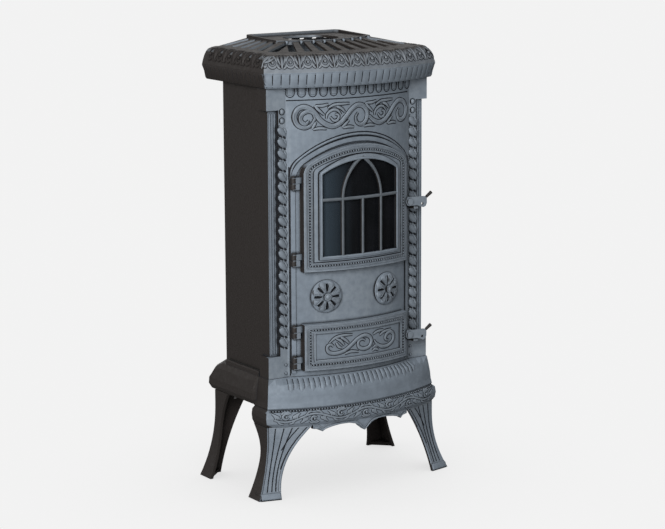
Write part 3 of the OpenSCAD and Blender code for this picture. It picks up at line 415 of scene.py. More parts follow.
def makePiece(name, body, finish, *parts, smooth=50):
    whole = bmesh.new()
    for part in parts:
        bmesh.ops.remove_doubles(part, verts=part.verts, dist=0.004)
        holder = bpy.data.meshes.new("part")
        part.to_mesh(holder)
        part.free()
        whole.from_mesh(holder)
        bpy.data.meshes.remove(holder)
    bmesh.ops.recalc_face_normals(whole, faces=whole.faces)
    bmesh.ops.scale(whole, vec=(0.001, 0.001, 0.001), verts=whole.verts)
    mesh = bpy.data.meshes.new(name)
    whole.to_mesh(mesh)
    whole.free()
    mesh.materials.append(finish)
    mesh.shade_smooth()
    mesh.set_sharp_from_angle(angle=math.radians(smooth))
    piece = bpy.data.objects.new(name, mesh)
    scene.collection.objects.link(piece)
    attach(piece, body)


def beadRow(bm, places, radius, flat=0.75):
    for spot, out in places:
        turn = out.to_track_quat("Z", "Y").to_matrix().to_4x4()
        place = Matrix.Translation(spot) @ turn @ Matrix.Scale(flat, 4, (0, 0, 1))
        bmesh.ops.create_uvsphere(bm, u_segments=8, v_segments=5, radius=radius, matrix=place)


def pad(bm, wide, high, thick, x, z, rounding):
    # Flat cushion of metal with rounded edges, drawn at x, z
    place = Matrix.Translation((x, 0, z)) @ Matrix.Diagonal((wide, thick * 2, high, 1))
    made = bmesh.ops.create_cube(bm, size=1.0, matrix=place)
    edges = list({edge for vert in made["verts"] for edge in vert.link_edges})
    bmesh.ops.bevel(bm, geom=edges, offset=min(wide, high, thick * 2) * rounding, offset_type="OFFSET",
                    segments=3, affect="EDGES", profile=0.5, material=-1, clamp_overlap=True)


def smoothLine(points, steps):
    # Smooth path through given points (x, z, radius)
    line = []
    last = len(points) - 1
    for i in range(last):
        a, b = points[max(i - 1, 0)], points[i]
        c, d = points[i + 1], points[min(i + 2, last)]
        for step in range(steps):
            t = step / steps
            line.append(tuple(0.5 * (2 * q + (r - p) * t + (2 * p - 5 * q + 4 * r - s) * t * t
                                     + (3 * q - p - 3 * r + s) * t ** 3) for p, q, r, s in zip(a, b, c, d)))
    line.append(tuple(points[-1]))
    return line


def tapered(points, thick, start, end):
    # Strand of one thickness whose ends thin out to shares of it
    line = smoothLine([(x, z, 0) for x, z in points], 5)
    last = len(line) - 1
    shaped = []
    for i, (x, z, unused) in enumerate(line):
        t = i / last
        share = min(1, start + (1 - start) * t * 5, end + (1 - end) * (1 - t) * 5)
        shaped.append((x, z, thick * share))
    return shaped


def leaf(points, thick, steps=5):
    # Strand that swells in the middle and ends in points
    line = smoothLine([(x, z, 0) for x, z in points], steps)
    last = len(line) - 1
    return [(x, z, thick * (0.12 + 0.88 * math.sin(math.pi * (0.08 + 0.84 * i / last)) ** 0.8))
            for i, (x, z, unused) in enumerate(line)]


def shifted(line, dx, dz=0.0, flip=1):
    return [(flip * x + dx, z + dz, *rest) for x, z, *rest in line]


def stroke(points, radius):
    return [(x, z, radius) for x, z in points]


def arc(x, z, wide, high, first, last, steps):
    # Points on an ellipse between two angles
    angles = [first + (last - first) * k / steps for k in range(steps + 1)]
    return [(x + wide * math.cos(angle), z + high * math.sin(angle)) for angle in angles]


def sideName(side):
    return "left" if side < 0 else "right"


# Corner columns
columns = {
    "middle": 169.5,  # x of the husk column
    "pitch": 24.2,
    "topHusk": 799,  # height of the middle of the top husk
    "husks": 20,
    "beadHeights": (841, 822),
    "beadRadius": 6.4,
    "studX": 164.5,
    "studHeights": (bodyLow + 28, bodyLow + 9),
    "studRadius": 3.6,
    "flutes": (183.2, 189.2, 195.0),
    "fluteWidth": 4.4,
    "fluteTop": 838,
    "fluteFoot": 313,
    "seam": 154.5,  # x of the upright seam beside the doors
    "seamHeights": (bodyLow + 3, 400, 500, 600, 722),
}
huskLobe = [(-9, 8, 3.4), (-7, 5.5, 5.6), (-3, 2, 6.8), (1, -1.5, 6.4), (5, -5, 5.2), (8.5, -8.5, 3.2),
            (10.5, -11, 1.2)]
huskFold = [(4, 8, 1.0), (7, 3, 2.6), (9.5, -2, 2.6), (11, -6, 1.0)]
huskShade = [
    [(-6, 13.5, 0.6), (-12, 10, 1.8), (-14, 3, 2.4), (-11, -4, 2.6), (-5, -9, 2.4), (1, -12, 1.2)],
    [(3, -11, 1.4), (6.5, -13.5, 2.6), (10, -14.5, 1.0)],
    [(-0.5, -9, 0.8), (-0.5, -15, 0.8)],
]


def cornerColumn(side):
    # Husks that lean from upper left to lower right, each rolled over the next
    middle = side * columns["middle"]
    size = columns["beadRadius"]
    heights = [columns["topHusk"] - k * columns["pitch"] for k in range(columns["husks"])]

    def repeated(*lines):
        return [shifted(smoothLine(line, 3), middle, z) for z in heights for line in lines]

    shade = repeated(*huskShade)
    balls = bmesh.new()
    for height in columns["beadHeights"]:
        beadRow(balls, [flatCorner(middle, height)], size, 0.7)
        shade.append(stroke(arc(middle, height, size, size, 0, math.tau, 14), 1.1))
    for height in columns["studHeights"]:
        beadRow(balls, [flatCorner(side * columns["studX"], height)], columns["studRadius"], 0.8)
    makePiece("husk_column_" + sideName(side), "stove", reliefIron,
              relief(repeated(huskLobe), 2, flatCorner, 0.55),
              relief(repeated(huskFold), 1, flatCorner, 0.9), balls)
    shadedGrooves("husk_shade_" + sideName(side), "stove", shade, flatCorner)
    flutes = bmesh.new()
    high = columns["fluteTop"] - columns["fluteFoot"]
    for x in columns["flutes"]:
        pad(flutes, columns["fluteWidth"], high, 1.2, side * x, columns["fluteFoot"] + high / 2, 0.45)
    makePiece("corner_flutes_" + sideName(side), "stove", frontIron, lay(flutes, frontSkin(), 1.0))
    seam = [(side * columns["seam"], z, 1.25) for z in columns["seamHeights"]]
    shadedGrooves("seam_" + sideName(side), "stove", [seam], frontSkin())


def flatCorner(x, z):
    return Vector((x, frontY, z)), Vector((0, -1, 0))


for side in (-1, 1):
    cornerColumn(side)
print("room stove: corner columns")


# Band of tongues under the cornice
tongues = {"first": -151, "pitch": 23.3, "count": 14, "top": 893, "foot": 871, "wide": 17.0, "rim": 1.0,
           "lineHeight": 864.5}


def tongueBand():
    skin = frontSkin()
    pads = bmesh.new()
    rims = []
    half = tongues["wide"] / 2
    top, foot = tongues["top"], tongues["foot"]
    for i in range(tongues["count"]):
        x = tongues["first"] + i * tongues["pitch"]
        pad(pads, tongues["wide"] - 5, top - foot - 4, 1.6, x, (top + foot) / 2 + 2.5, 0.5)
        curve = arc(x, foot + half, half, half, math.pi, math.tau, 10)
        rims.append(stroke([(x - half, top), *curve, (x + half, top)], tongues["rim"]))
        if i:
            pad(pads, 3.4, 9, 1.4, x - tongues["pitch"] / 2, top - 6, 0.5)
    reach = stove["bowHalf"] - 1
    rims.append([(x, tongues["lineHeight"], 1.2) for x in range(-reach, reach + 1, 8)])
    makePiece("tongue_band", "stove", reliefIron, lay(pads, skin, 1.0))
    shadedGrooves("tongue_outlines", "stove", rims, skin)


tongueBand()


# Scroll frieze over the fire door
frieze = {"thick": 5.4, "rise": 0.42, "repeat": 121}
friezeWave = [(-100, 824), (-108, 811), (-121, 805), (-136, 811), (-143, 828), (-137, 844), (-124, 850),
              (-110, 845), (-99, 834), (-89, 821), (-76, 811), (-60, 806), (-43, 812), (-29, 825), (-16, 839),
              (-1, 848), (15, 845), (25, 832), (23, 815), (11, 806), (-1, 810), (-5, 822), (1, 832)]
friezeCurl = [(-100, 824), (-104, 837), (-116, 840), (-128, 833), (-130, 820), (-120, 813), (-113, 821)]
friezeLeaves = [
    [(-75, 823), (-73, 833), (-62, 841), (-50, 840), (-41, 830)],
    [(-72, 845), (-58, 852), (-40, 853), (-20, 853)],
    [(-52, 848), (-41, 844), (-32, 835)],
    [(-66, 826), (-58, 818), (-49, 820), (-47, 829), (-55, 832)],
    [(-101, 852), (-93, 843), (-80, 831)],
    [(-99, 852), (-84, 851), (-70, 854)],
    [(-107, 802), (-102, 810), (-98, 817)],
    [(-104, 801), (-90, 803), (-74, 801)],
    [(-40, 802), (-31, 809), (-22, 817)],
    [(-36, 801), (-22, 803), (-9, 801)],
]


def scrollFrieze():
    skin = frontSkin()
    thick, rise, repeat = frieze["thick"], frieze["rise"], frieze["repeat"]
    second = [(-98, 824)] + friezeWave[9:]
    lines = [tapered(friezeWave, thick, 0.5, 0.3), tapered(friezeCurl, thick * 0.8, 0.6, 0.4),
             shifted(tapered(second, thick, 0.5, 0.3), repeat)]
    leaves = [shifted(leaf(points, 3.0), dx) for dx in (0, repeat) for points in friezeLeaves]
    ridges = [[(x, z, radius * 0.24) for x, z, radius in line] for line in lines]
    shadedGrooves("frieze_outlines", "stove", lines + leaves, skin, 2.1)
    makePiece("scroll_frieze", "stove", reliefIron, relief(lines, 2, skin, rise),
              relief(leaves, 1, skin, 0.8), relief(ridges, 1, skin, 1.0, thick * rise * 0.8))


scrollFrieze()
print("room stove: frieze")


# Arch line inside the door moulding
archLine = {"half": 154.5, "spring": 722, "rise": 68, "shoulder": 44, "radius": 1.5, "ridge": 2.6,
            "insets": (0, 8, 4)}  # two grooves, and the raised line between them


def archPoints(half, foot, spring, top, shoulder, steps=12):
    # Side, rounded shoulder, flat arch, and down again, as (x, z)
    radius = (half * half + (top - spring) ** 2) / (2 * (top - spring))
    middle = top - radius
    hub = middle + math.sqrt((radius - shoulder) ** 2 - (half - shoulder) ** 2)
    turn = math.atan2(hub - middle, half - shoulder)
    right = [(half, foot + (hub - foot) * i / 8) for i in range(8)]
    right += arc(half - shoulder, hub, shoulder, shoulder, 0, turn, steps)[:-1]
    right += arc(0, middle, radius, radius, turn, math.pi / 2, steps)
    return right + [(-x, z) for x, z in right[-2::-1]]


def doorArchLine():
    # The top of the outline only: the seams carry it on down the sides
    spring, top = archLine["spring"], archLine["spring"] + archLine["rise"]
    *dark, light = [archPoints(archLine["half"] - inset, spring - 30, spring, top - inset,
                               archLine["shoulder"] - inset * 0.5)[6:-6] for inset in archLine["insets"]]
    skin = frontSkin()
    shadedGrooves("arch_grooves", "stove", [stroke(points, archLine["radius"]) for points in dark], skin)
    makePiece("arch_line", "stove", frontIron, relief([stroke(light, archLine["ridge"])], 2, skin, 0.6))


doorArchLine()


# Beaded borders of the doors
beading = {"inset": 12.5, "pitch": 6.3, "radius": 2.3, "ridge": 1.4, "ridgeGap": 5.6, "edge": 1.6}
fireLow, fireHigh = [corner * 1000 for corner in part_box("fire_door")]
ashLow, ashHigh = [corner * 1000 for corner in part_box("ash_door")]
doors = {
    "half": 134,
    "fireSpring": fireHigh.z - 46,
    "shoulder": 28,
    "ashFrameX": 112,
    "ashFrameLow": 297,
    "ashFrameHigh": 359,
}


def evenly(points, pitch):
    # Points at an even pitch along a closed outline of (x, z)
    walk = []
    left = 0.0
    for (ax, az), (bx, bz) in zip(points, points[1:] + points[:1]):
        length = math.hypot(bx - ax, bz - az)
        while left < length:
            walk.append((ax + (bx - ax) * left / length, az + (bz - az) * left / length))
            left += pitch
        left -= length
    return walk


def fireOutline(inset):
    top = fireHigh.z - inset
    spring = doors["fireSpring"] - inset * 0.15
    shoulder = doors["shoulder"] - inset * 0.6
    return archPoints(doors["half"] - inset, fireLow.z + inset, spring, top, shoulder)


def ashOutline(inset):
    half = doors["half"] - inset
    low, high = ashLow.z + inset, ashHigh.z - inset
    side = [(half, low + (high - low) * i / 4) for i in range(4)]
    top = [(half - half * i / 6, high) for i in range(7)]
    right = side + top
    return right + [(-x, z) for x, z in right[-2::-1]]


def densely(points, step=9.0):
    # Adds points on long straight stretches, so that a strand can follow the bow
    line = []
    for (ax, az), (bx, bz) in zip(points, points[1:] + points[:1]):
        count = max(1, round(math.hypot(bx - ax, bz - az) / step))
        line += [(ax + (bx - ax) * i / count, az + (bz - az) * i / count) for i in range(count)]
    return line


def doorBorder(name, body, outline):
    skin = frontSkin(stove["doorProud"])
    inset, gap = beading["inset"], beading["ridgeGap"]

    def ring(depth, radius):
        return stroke(densely(outline(depth)), radius)

    balls = bmesh.new()
    beadRow(balls, [skin(x, z) for x, z in evenly(outline(inset), beading["pitch"])], beading["radius"])
    bed = [ring(inset, beading["radius"] + 0.1), ring(inset + gap + 2.4, 1.0)]
    shadedGrooves(name + "_bed", body, bed, skin, closed=True)
    rails = [ring(inset - gap, beading["ridge"]), ring(inset + gap, beading["ridge"])]
    makePiece(name, body, reliefIron, balls, relief(rails, 1, skin, 1.1, closed=True),
              relief([ring(beading["edge"], beading["edge"])], 1, skin, 0.45, closed=True))


doorBorder("fire_door_beading", "fire_door", fireOutline)
doorBorder("ash_door_beading", "ash_door", ashOutline)


# Turned sleeves on the hinge knuckles
hinges = {
    "fire": (fireLow.z + 26, fireLow.z + 193),
    "ash": ((ashLow.z + ashHigh.z) / 2 - 34, (ashLow.z + ashHigh.z) / 2 + 34),
    "x": -151,
    "front": 15,  # axis in front of the corner plane
    "radius": 6.7,
    "high": 13,
    "armStart": -147,
    "armThick": 4.6,
    "doorArmEnd": -130,
    "bodyArmEnd": -137,
}


def hingeSleeve(name, body, feet):
    # Barrel with rounded rims and a shallow waist, turned about the hinge axis
    profile = [(0.0, 0.6), (5.6, 0.6), (6.4, 1.2), (hinges["radius"], 2.4), (6.45, 5.0), (6.45, 8.0),
               (hinges["radius"], 10.8), (6.4, 12.0), (5.6, 12.6), (0.0, 12.6)]
    bm = bmesh.new()
    for foot in feet:
        verts = [bm.verts.new((radius, 0, foot + high)) for radius, high in profile]
        edges = [bm.edges.new(pair) for pair in zip(verts, verts[1:])]
        bmesh.ops.spin(bm, geom=verts + edges, cent=(0, 0, 0), axis=(0, 0, 1), angle=math.tau, steps=24,
                       use_merge=True)
    bmesh.ops.translate(bm, verts=bm.verts, vec=(hinges["x"], frontY - hinges["front"], 0))
    makePiece(name, body, pinSteel, bm, smooth=35)


def hingeArms(name, body, feet, end):
    # Rounded arms that reach from the barrel towards the door
    start, high = hinges["armStart"], hinges["high"]
    bm = bmesh.new()
    for foot in feet:
        pad(bm, end - start, high - 2.4, hinges["armThick"], (start + end) / 2, foot + high / 2, 0.42)
    bmesh.ops.translate(bm, verts=bm.verts, vec=(0, frontY - hinges["front"], 0))
    makePiece(name, body, frontIron, bm)


bodyFeet = [foot - hinges["high"] for foot in hinges["fire"] + hinges["ash"]]
hingeArms("fire_hinge_arms", "fire_door", hinges["fire"], hinges["doorArmEnd"])
hingeArms("ash_hinge_arms", "ash_door", hinges["ash"], hinges["doorArmEnd"])
hingeArms("body_hinge_arms", "stove", bodyFeet, hinges["bodyArmEnd"])
hingeSleeve("fire_hinge_sleeves", "fire_door", hinges["fire"])
hingeSleeve("ash_hinge_sleeves", "ash_door", hinges["ash"])
hingeSleeve("body_hinge_sleeves", "stove", bodyFeet)


# Window bars: rounded faces over the flat cast bars
window = {"half": 97, "sill": fireLow.z + 32, "side": 182, "rise": 31, "pitch": 49.5, "transom": 124,
          "bar": 3.0, "rim": 2.7, "groove": 1.2, "proud": 20.4}


def windowBars():
    half, sill, pitch = window["half"], window["sill"], window["pitch"]
    spring = sill + window["side"]
    top = spring + window["rise"]
    transom = sill + window["transom"]
    foot = sill - 2
    bars = [[(i * pitch, foot + (transom - foot) * k / 10) for k in range(11)] for i in (-1, 0, 1)]
    bars.append([(x, transom) for x in range(-half - 1, half + 2, 7)])
    # The two limbs of the pointed arch
    rise = top - transom
    hub = (rise ** 2 - pitch ** 2) / (2 * pitch)
    limb = hub + pitch
    turn = math.asin(rise / limb)
    bars += [arc(side * hub, transom, -side * limb, limb, 0, turn, 14) for side in (-1, 1)]
    rim = stroke(densely(archPoints(half + 1.5, sill - 1.5, spring - 1, top - 3, 8)), window["rim"])
    outer = stroke(densely(archPoints(half + 6, sill - 6, spring + 2, top + 5.5, 10)), window["groove"])
    makePiece("window_bars_round", "fire_door", barIron,
              relief([stroke(bar, window["bar"]) for bar in bars], 2, frontSkin(window["proud"]), 0.45))
    makePiece("window_rim_round", "fire_door", frontIron,
              relief([rim], 2, frontSkin(window["proud"] + 0.4), 0.5, closed=True))
    shadedGrooves("window_rim_groove", "fire_door", [outer], frontSkin(stove["doorProud"]), closed=True)


windowBars()
print("room stove: doors")


# Relief on the ash door
ashPanel = {"thick": 4.2, "leaf": 3.0, "recess": 2.0}
ashMain = [(-70, 326), (-76, 331), (-84, 327), (-83, 317), (-73, 311), (-57, 311), (-41, 316), (-25, 327),
           (-10, 338), (7, 343), (21, 338), (26, 327), (19, 316), (4, 313), (-8, 319), (-9, 330), (0, 335),
           (9, 331)]
ashRight = [(33, 329), (41, 319), (56, 311), (74, 311), (88, 319), (91, 332), (82, 340), (69, 336), (66, 326),
            (75, 322)]
ashLeaves = [
    [(-80, 334), (-66, 345), (-46, 349), (-24, 348)],
    [(-64, 343), (-53, 337), (-44, 326)],
    [(-53, 345), (-43, 339), (-33, 330)],
    [(-64, 334), (-58, 325), (-50, 321)],
    [(-43, 307), (-28, 311), (-8, 308)],
    [(30, 342), (42, 347), (60, 348)],
    [(48, 337), (62, 344), (84, 346)],
    [(30, 312), (36, 316), (42, 312)],
    [(28, 305), (36, 309), (46, 304)],
]


def ashRelief():
    proud = stove["doorProud"]
    skin = frontSkin(proud - ashPanel["recess"])
    stems = [tapered(ashMain, ashPanel["thick"], 0.5, 0.4), tapered(ashRight, ashPanel["thick"], 0.3, 0.4)]
    leaves = [leaf(points, ashPanel["leaf"]) for points in ashLeaves]
    shadedGrooves("ash_door_outlines", "ash_door", stems + leaves, skin, 1.9)
    half, low, high = doors["ashFrameX"], doors["ashFrameLow"], doors["ashFrameHigh"]
    border = stroke(densely([(half, low), (half, high), (-half, high), (-half, low)]), 2.2)
    makePiece("ash_door_relief", "ash_door", reliefIron, relief(stems, 2, skin, 0.5),
              relief(leaves, 1, skin, 0.7), relief([border], 1, frontSkin(proud - 0.4), 0.8, closed=True))


ashRelief()


# Petals on the air rosettes
rosettes = {"x": 78, "z": bodyLow + 175, "petals": 8, "veinLean": 0.19, "budProud": 13.2,
            "budRadius": 5.6}
petalShape = ((7, 1.2), (11, 3.2), (16, 5.4), (21, 7.2), (26, 8.2), (30, 8.0), (33, 5.5), (34.5, 2.5))


def rosettePetals(side):
    # Petals stand on the turning disc, between its air slots
    tree = skinTree("air_rosette_" + sideName(side))
    angle = math.asin(side * rosettes["x"] / bowRadius)
    out = Vector((math.sin(angle), -math.cos(angle), 0))
    across = Vector((math.cos(angle), math.sin(angle), 0))
    middle = Vector((0, bowMid, rosettes["z"])) + out * bowRadius

    def skin(x, z):
        start = middle + across * x + Vector((0, 0, z)) + out * 40
        spot, *rest, reach = tree.ray_cast(start, -out)
        if spot is None or reach > 60:
            return start - out * 36, out
        return spot, out

    petals = []
    veins = []
    for i in range(rosettes["petals"]):
        turn = math.tau * (i + 0.5) / rosettes["petals"]
        petals.append([(r * math.cos(turn), r * math.sin(turn), radius) for r, radius in petalShape])
        for lean in (-rosettes["veinLean"], rosettes["veinLean"]):
            vein = ((16, turn), (24, turn + lean), (30, turn + lean))
            veins.append(leaf([(r * math.cos(a), r * math.sin(a)) for r, a in vein], 1.3))
    makePiece("rosette_petals_" + sideName(side), "draught_" + sideName(side), reliefIron,
              relief(petals, 2, skin, 0.32), relief(veins, 1, skin, 0.9, 2.2))
    # Low knob over the head of the spindle
    bud = bmesh.new()
    beadRow(bud, [(middle + out * rosettes["budProud"], out)], rosettes["budRadius"], 0.5)
    makePiece("rosette_bud_" + sideName(side), "stove", reliefIron, bud)


for side in (-1, 1):
    rosettePetals(side)
print("room stove: rosettes")


# Cornice: tongues round the band, with fine lines between
cornice = {"low": bodyTop + 2, "high": 925, "pitch": 18.5, "wide": 16.9, "thick": 0.6, "line": 0.5,
           "start": 4, "margin": 6, "backLedge": 14}
rimFront = frontY - stove["rimOver"]
rimPath, rimBow = planPath(stove["rimHalf"], stove["rimRise"], rimFront)
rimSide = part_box("cornice")[1].y * 1000 - cornice["backLedge"] - rimFront


def roundTheRim(pitch, start, margin):
    # Even places along the bow, then down both sides from start to margin
    front = round(2 * rimBow / pitch)
    places = [-rimBow + (i + 0.5) * 2 * rimBow / front for i in range(front)]
    for i in range(int((rimSide - margin) / pitch)):
        s = rimBow + start + (i + 0.5) * pitch
        places += [s, -s]
    return places


def corniceBand():
    skin = pathSkin("cornice", rimPath)
    low, tall = cornice["low"], cornice["high"] - cornice["low"]
    bm = bmesh.new()
    lines = []
    for s in roundTheRim(cornice["pitch"], cornice["start"], cornice["margin"]):
        pad(bm, cornice["wide"], tall, cornice["thick"], s, low + tall / 2, 0.48)
        lines.append([(s + cornice["pitch"] / 2, low + tall * k / 4, cornice["line"]) for k in range(5)])
    shadedGrooves("cornice_lines", "stove", lines, skin)
    makePiece("cornice_tongues", "stove", tongueIron, lay(bm, skin, 1.0))


corniceBand()


# Crown moulding: berries in cups, with leaves between
crownRelief = {"rimTop": 927, "pitch": 40.0, "start": 12, "margin": 10, "tilt": 45, "low": 9.0,
               "berryHeight": 21.0, "berry": 4.2, "cupHalf": 9.5, "cupDeep": 10.5}
crownCup = [[(-9, 14), (-6, 24), (1, 31)], [(9, 14), (6, 24), (-1, 33)]]
crownPoint = [(0, -1), (0, 14), (0, 34)]
crownCurls = [([(2, 6), (7, 17), (8, 30), (3, 37)], 2.4), ([(3, -1), (8, 3), (10, 9)], 2.2)]


def crownOrnament():
    skin = pathSkin("crown", rimPath, crownRelief["rimTop"], crownRelief["tilt"])
    low, middle = crownRelief["low"], crownRelief["berryHeight"]
    balls = bmesh.new()
    cups = []
    leaves = []
    for s in roundTheRim(crownRelief["pitch"], crownRelief["start"], crownRelief["margin"]):
        # Berry in its cup
        spot, out = skin(s, middle)
        beadRow(balls, [(spot + out, out)], crownRelief["berry"], 0.9)
        cup = arc(s, middle, crownRelief["cupHalf"], crownRelief["cupDeep"], math.pi, math.tau, 8)
        cups.append(leaf(cup, 2.6, 2))
        cups += [leaf(shifted(points, s, low), 2.8) for points in crownCup]
        # Pointed leaf with two curled side leaves
        s += crownRelief["pitch"] / 2
        leaves.append(leaf(shifted(crownPoint, s, low), 4.0))
        leaves += [leaf(shifted(points, s, low, lean), thick)
                   for lean in (-1, 1) for points, thick in crownCurls]
    shadedGrooves("crown_outlines", "stove", cups + leaves, skin, 1.3)
    makePiece("crown_berries", "stove", berryIron, balls, relief(cups, 1, skin, 0.8),
              relief(leaves, 1, skin, 0.75))


crownOrnament()

crownBeads = {"radius": 4.4, "turn": 6.7, "count": 4, "fan": 212, "shift": 3, "cornerX": 122,
              "cornerY": 97, "bow": 34, "gap": 3.5, "height": 978.5}


def crownSlotBeads():
    # A bead at the inner end of each slot in front, along the bowed edge of the flat
    bow = crownBeads["bow"]
    radius = (crownBeads["cornerX"] ** 2 + bow ** 2) / (2 * bow)
    bm = bmesh.new()
    for i in range(-crownBeads["count"], crownBeads["count"] + 1):
        x = math.tan(math.radians(i * crownBeads["turn"])) * crownBeads["fan"] + crownBeads["shift"]
        y = crownBeads["cornerY"] - (math.sqrt(radius ** 2 - x ** 2) - radius + bow)
        spot = Vector((x, frontY + y - crownBeads["gap"], crownBeads["height"]))
        beadRow(bm, [(spot, Vector((0, -0.6, 0.8)))], crownBeads["radius"], 1.0)
    makePiece("crown_slot_beads", "stove", frontIron, bm)


crownSlotBeads()
print("room stove: crown")


# Base: flutes, bead row, scroll band, edge of the apron
base = {
    "fluteTop": bodyLow - 3,
    "fluteFoot": bodyLow - 27,
    "flutePitch": 12.4,
    "fluteStep": 6,  # every other flute ends this much higher
    "fluteMargin": 52,
    "beadHeight": 193.4,
    "beadPitch": 6.4,
    "beadRadius": 2.1,
    "beadMargin": 4,
    "bandMiddle": 178.0,
    "bandPeriod": 124.0,
    "bandSwing": 7.4,
    "bandMargin": 12,
    "stem": 2.3,
    "curlMargin": 12,
    "berry": 3.4,
    "berryDrop": 3.5,
}
basePath, baseEnd = planPath(stove["baseHalf"], stove["baseRise"], frontY - stove["baseOver"])
baseSkin = pathSkin("base_casting", basePath)
baseCurl = [(9.0 * (1 - 0.35 * t) * math.cos(0.6 + 5.4 * t),
             -3.5 - 7.0 * (1 - 0.35 * t) * math.sin(0.6 + 5.4 * t)) for t in [k / 12 for k in range(13)]]
baseSprays = [
    ([(15, 1), (17, -3.6), (23, -7)], 2.8),
    ([(19, 1), (21, -5.4), (27, -10)], 2.6),
    ([(23, 1), (25, -6.6), (31, -12)], 2.4),
    ([(12, -9), (5, -13), (-2, -13)], 2.2),
    ([(5, 12.5), (12, 11.5), (19, 6)], 2.2),
]


def baseFlutes():
    pitch, top = base["flutePitch"], base["fluteTop"]
    reach = baseEnd - base["fluteMargin"]
    lines = []
    dark = []
    for i in range(int(2 * reach / pitch) + 1):
        s = -reach + i * pitch
        foot = base["fluteFoot"] + (base["fluteStep"] if i % 2 else 0)
        lines.append([(s, foot + (top - foot) * k / 10, min(4.6, 1.6 + 1.5 * k)) for k in range(11)])
        dark.append([(s - pitch / 2, top - 2 * k, 1.0 - 0.06 * k) for k in range(11)])
    shadedGrooves("skirt_lines", "stove", dark, baseSkin)
    makePiece("skirt_flutes", "stove", frontIron, relief(lines, 2, baseSkin, 0.26))


def baseBeads():
    reach, height, pitch = baseEnd - base["beadMargin"], base["beadHeight"], base["beadPitch"]
    bm = bmesh.new()
    beadRow(bm, [baseSkin(-reach + i * pitch, height) for i in range(int(2 * reach / pitch) + 1)],
            base["beadRadius"])
    steps = 110
    bed = [((reach + 1) * (2 * i / steps - 1), height, base["beadRadius"]) for i in range(steps + 1)]
    shadedGrooves("base_bead_bed", "stove", [bed], baseSkin)
    makePiece("base_beads", "stove", reliefIron, bm)


def baseScrolls():
    period, level = base["bandPeriod"], base["bandMiddle"]
    half = baseEnd - base["bandMargin"]
    steps = 150
    lines = [[(s, level + base["bandSwing"] * math.cos(math.tau * s / period), base["stem"])
              for s in [half * (2 * i / steps - 1) for i in range(steps + 1)]]]
    balls = bmesh.new()
    turns = math.ceil(half / (period / 2))
    for k in range(-turns, turns + 1):
        s = k * period / 2
        up = 1 if k % 2 == 0 else -1
        if abs(s) > half - base["curlMargin"]:
            continue
        # Curl and berry inside each swing of the stem, and leaves at its back
        lines.append(leaf([(s + x, level + up * z) for x, z in baseCurl], 2.5, 2))
        spot, out = baseSkin(s, level - up * base["berryDrop"])
        beadRow(balls, [(spot + out * 0.5, out)], base["berry"], 0.9)
        lines += [leaf([(s + lean * x, level + up * z) for x, z in points], thick)
                  for lean in (-1, 1) for points, thick in baseSprays]
    shadedGrooves("base_outlines", "stove", lines, baseSkin, 1.3)
    makePiece("base_scrolls", "stove", reliefIron, relief(lines, 1, baseSkin, 0.75), balls)


baseFlutes()
baseBeads()
baseScrolls()

apron = {
    "top": 158,
    # Right half of the scalloped edge: x, and how far it hangs below the top
    "edge": [(0, 25), (10, 17), (22, 8), (40, 4), (60, 4), (80, 7), (95, 11), (103, 16), (112, 10),
             (122, 9)],
    "lip": (2.2, 2.4),  # height over the edge, and radius
    "line": (9.0, 1.3),
}


def apronLip():
    # Rolled lip along the edge, and a second fine line above it
    skin = castSkin("base_casting")
    edge = [(-x, drop) for x, drop in apron["edge"][:0:-1]] + apron["edge"]
    for name in ("lip", "line"):
        lift, radius = apron[name]
        line = smoothLine([(x, apron["top"] - drop + lift, radius) for x, drop in edge], 3)
        makePiece("apron_" + name, "stove", reliefIron, relief([line], 1, skin, 0.8))


apronLip()
print("room stove: base")


# Legs: grooves in painted shade down the front, a lip at the inner edge and a thick toe
legs = {
    "cut": 8,
    "flare": 36,
    "flareHeight": 140,
    "foot": 54,
    "over": 11,
    "spread": 67,
    "spreadHeight": 157,
    "low": 18,
    "high": 154,
    "shadedGrooves": ((0.19, 0.30), (0.39, 0.53), (0.58, 0.73)),  # shares of the width, at top and foot
    "grooveRadius": 1.25,
    "shortFoot": 104,  # where the short groove at the top begins
    "shortShares": (0.56, 0.73),
    "fineRadius": 1.1,
    "lipInset": 3.0,
    "lipRadius": 2.8,
    "lipGroove": 7.5,
    "lipGrooveFoot": 60,
    "toeTop": 15,
    "toeProud": 3.4,
}


def legEdges(z):
    # Outer and inner edge of the front arm at a height
    s = z + legs["cut"]
    flare = legs["flare"] * max(0, 1 - s / legs["flareHeight"]) ** 2
    outer = stove["halfWidth"] + legs["over"]
    spread = legs["spread"] * (s / legs["spreadHeight"]) ** 2
    return outer + flare, outer + legs["flare"] - legs["foot"] - spread


def frontLeg(side):
    skin = castSkin("leg_front_" + sideName(side))
    steps = 36
    heights = [legs["low"] + (legs["high"] - legs["low"]) * i / steps for i in range(steps + 1)]

    def across(z, share):
        outer, inner = legEdges(z)
        return side * (outer + (inner - outer) * share)

    def border(inset, radius, low=0):
        return [(side * (legEdges(z)[1] + inset), z, radius) for z in heights if z > low]

    dark = [[(across(z, low + (high - low) * i / steps), z, legs["grooveRadius"])
             for i, z in enumerate(heights)] for high, low in legs["shadedGrooves"]]
    foot, (low, high) = legs["shortFoot"], legs["shortShares"]
    dark.append([(across(z, low + (high - low) * (z - foot) / (legs["high"] - foot)), z, legs["fineRadius"])
                 for z in heights if z > foot])
    dark.append(border(legs["lipGroove"], legs["fineRadius"], legs["lipGrooveFoot"]))
    shadedGrooves("leg_grooves_" + sideName(side), "stove", dark, skin)
    outer, inner = legEdges(legs["toeTop"] / 2)
    toe = bmesh.new()
    pad(toe, outer - inner - 1.0, legs["toeTop"], legs["toeProud"], side * (outer + inner) / 2,
        legs["toeTop"] / 2 + 0.4, 0.5)
    lip = border(legs["lipInset"], legs["lipRadius"])
    makePiece("leg_ribs_" + sideName(side), "stove", legIron, relief([lip], 2, skin, 0.6),
              lay(toe, skin, 1.0))


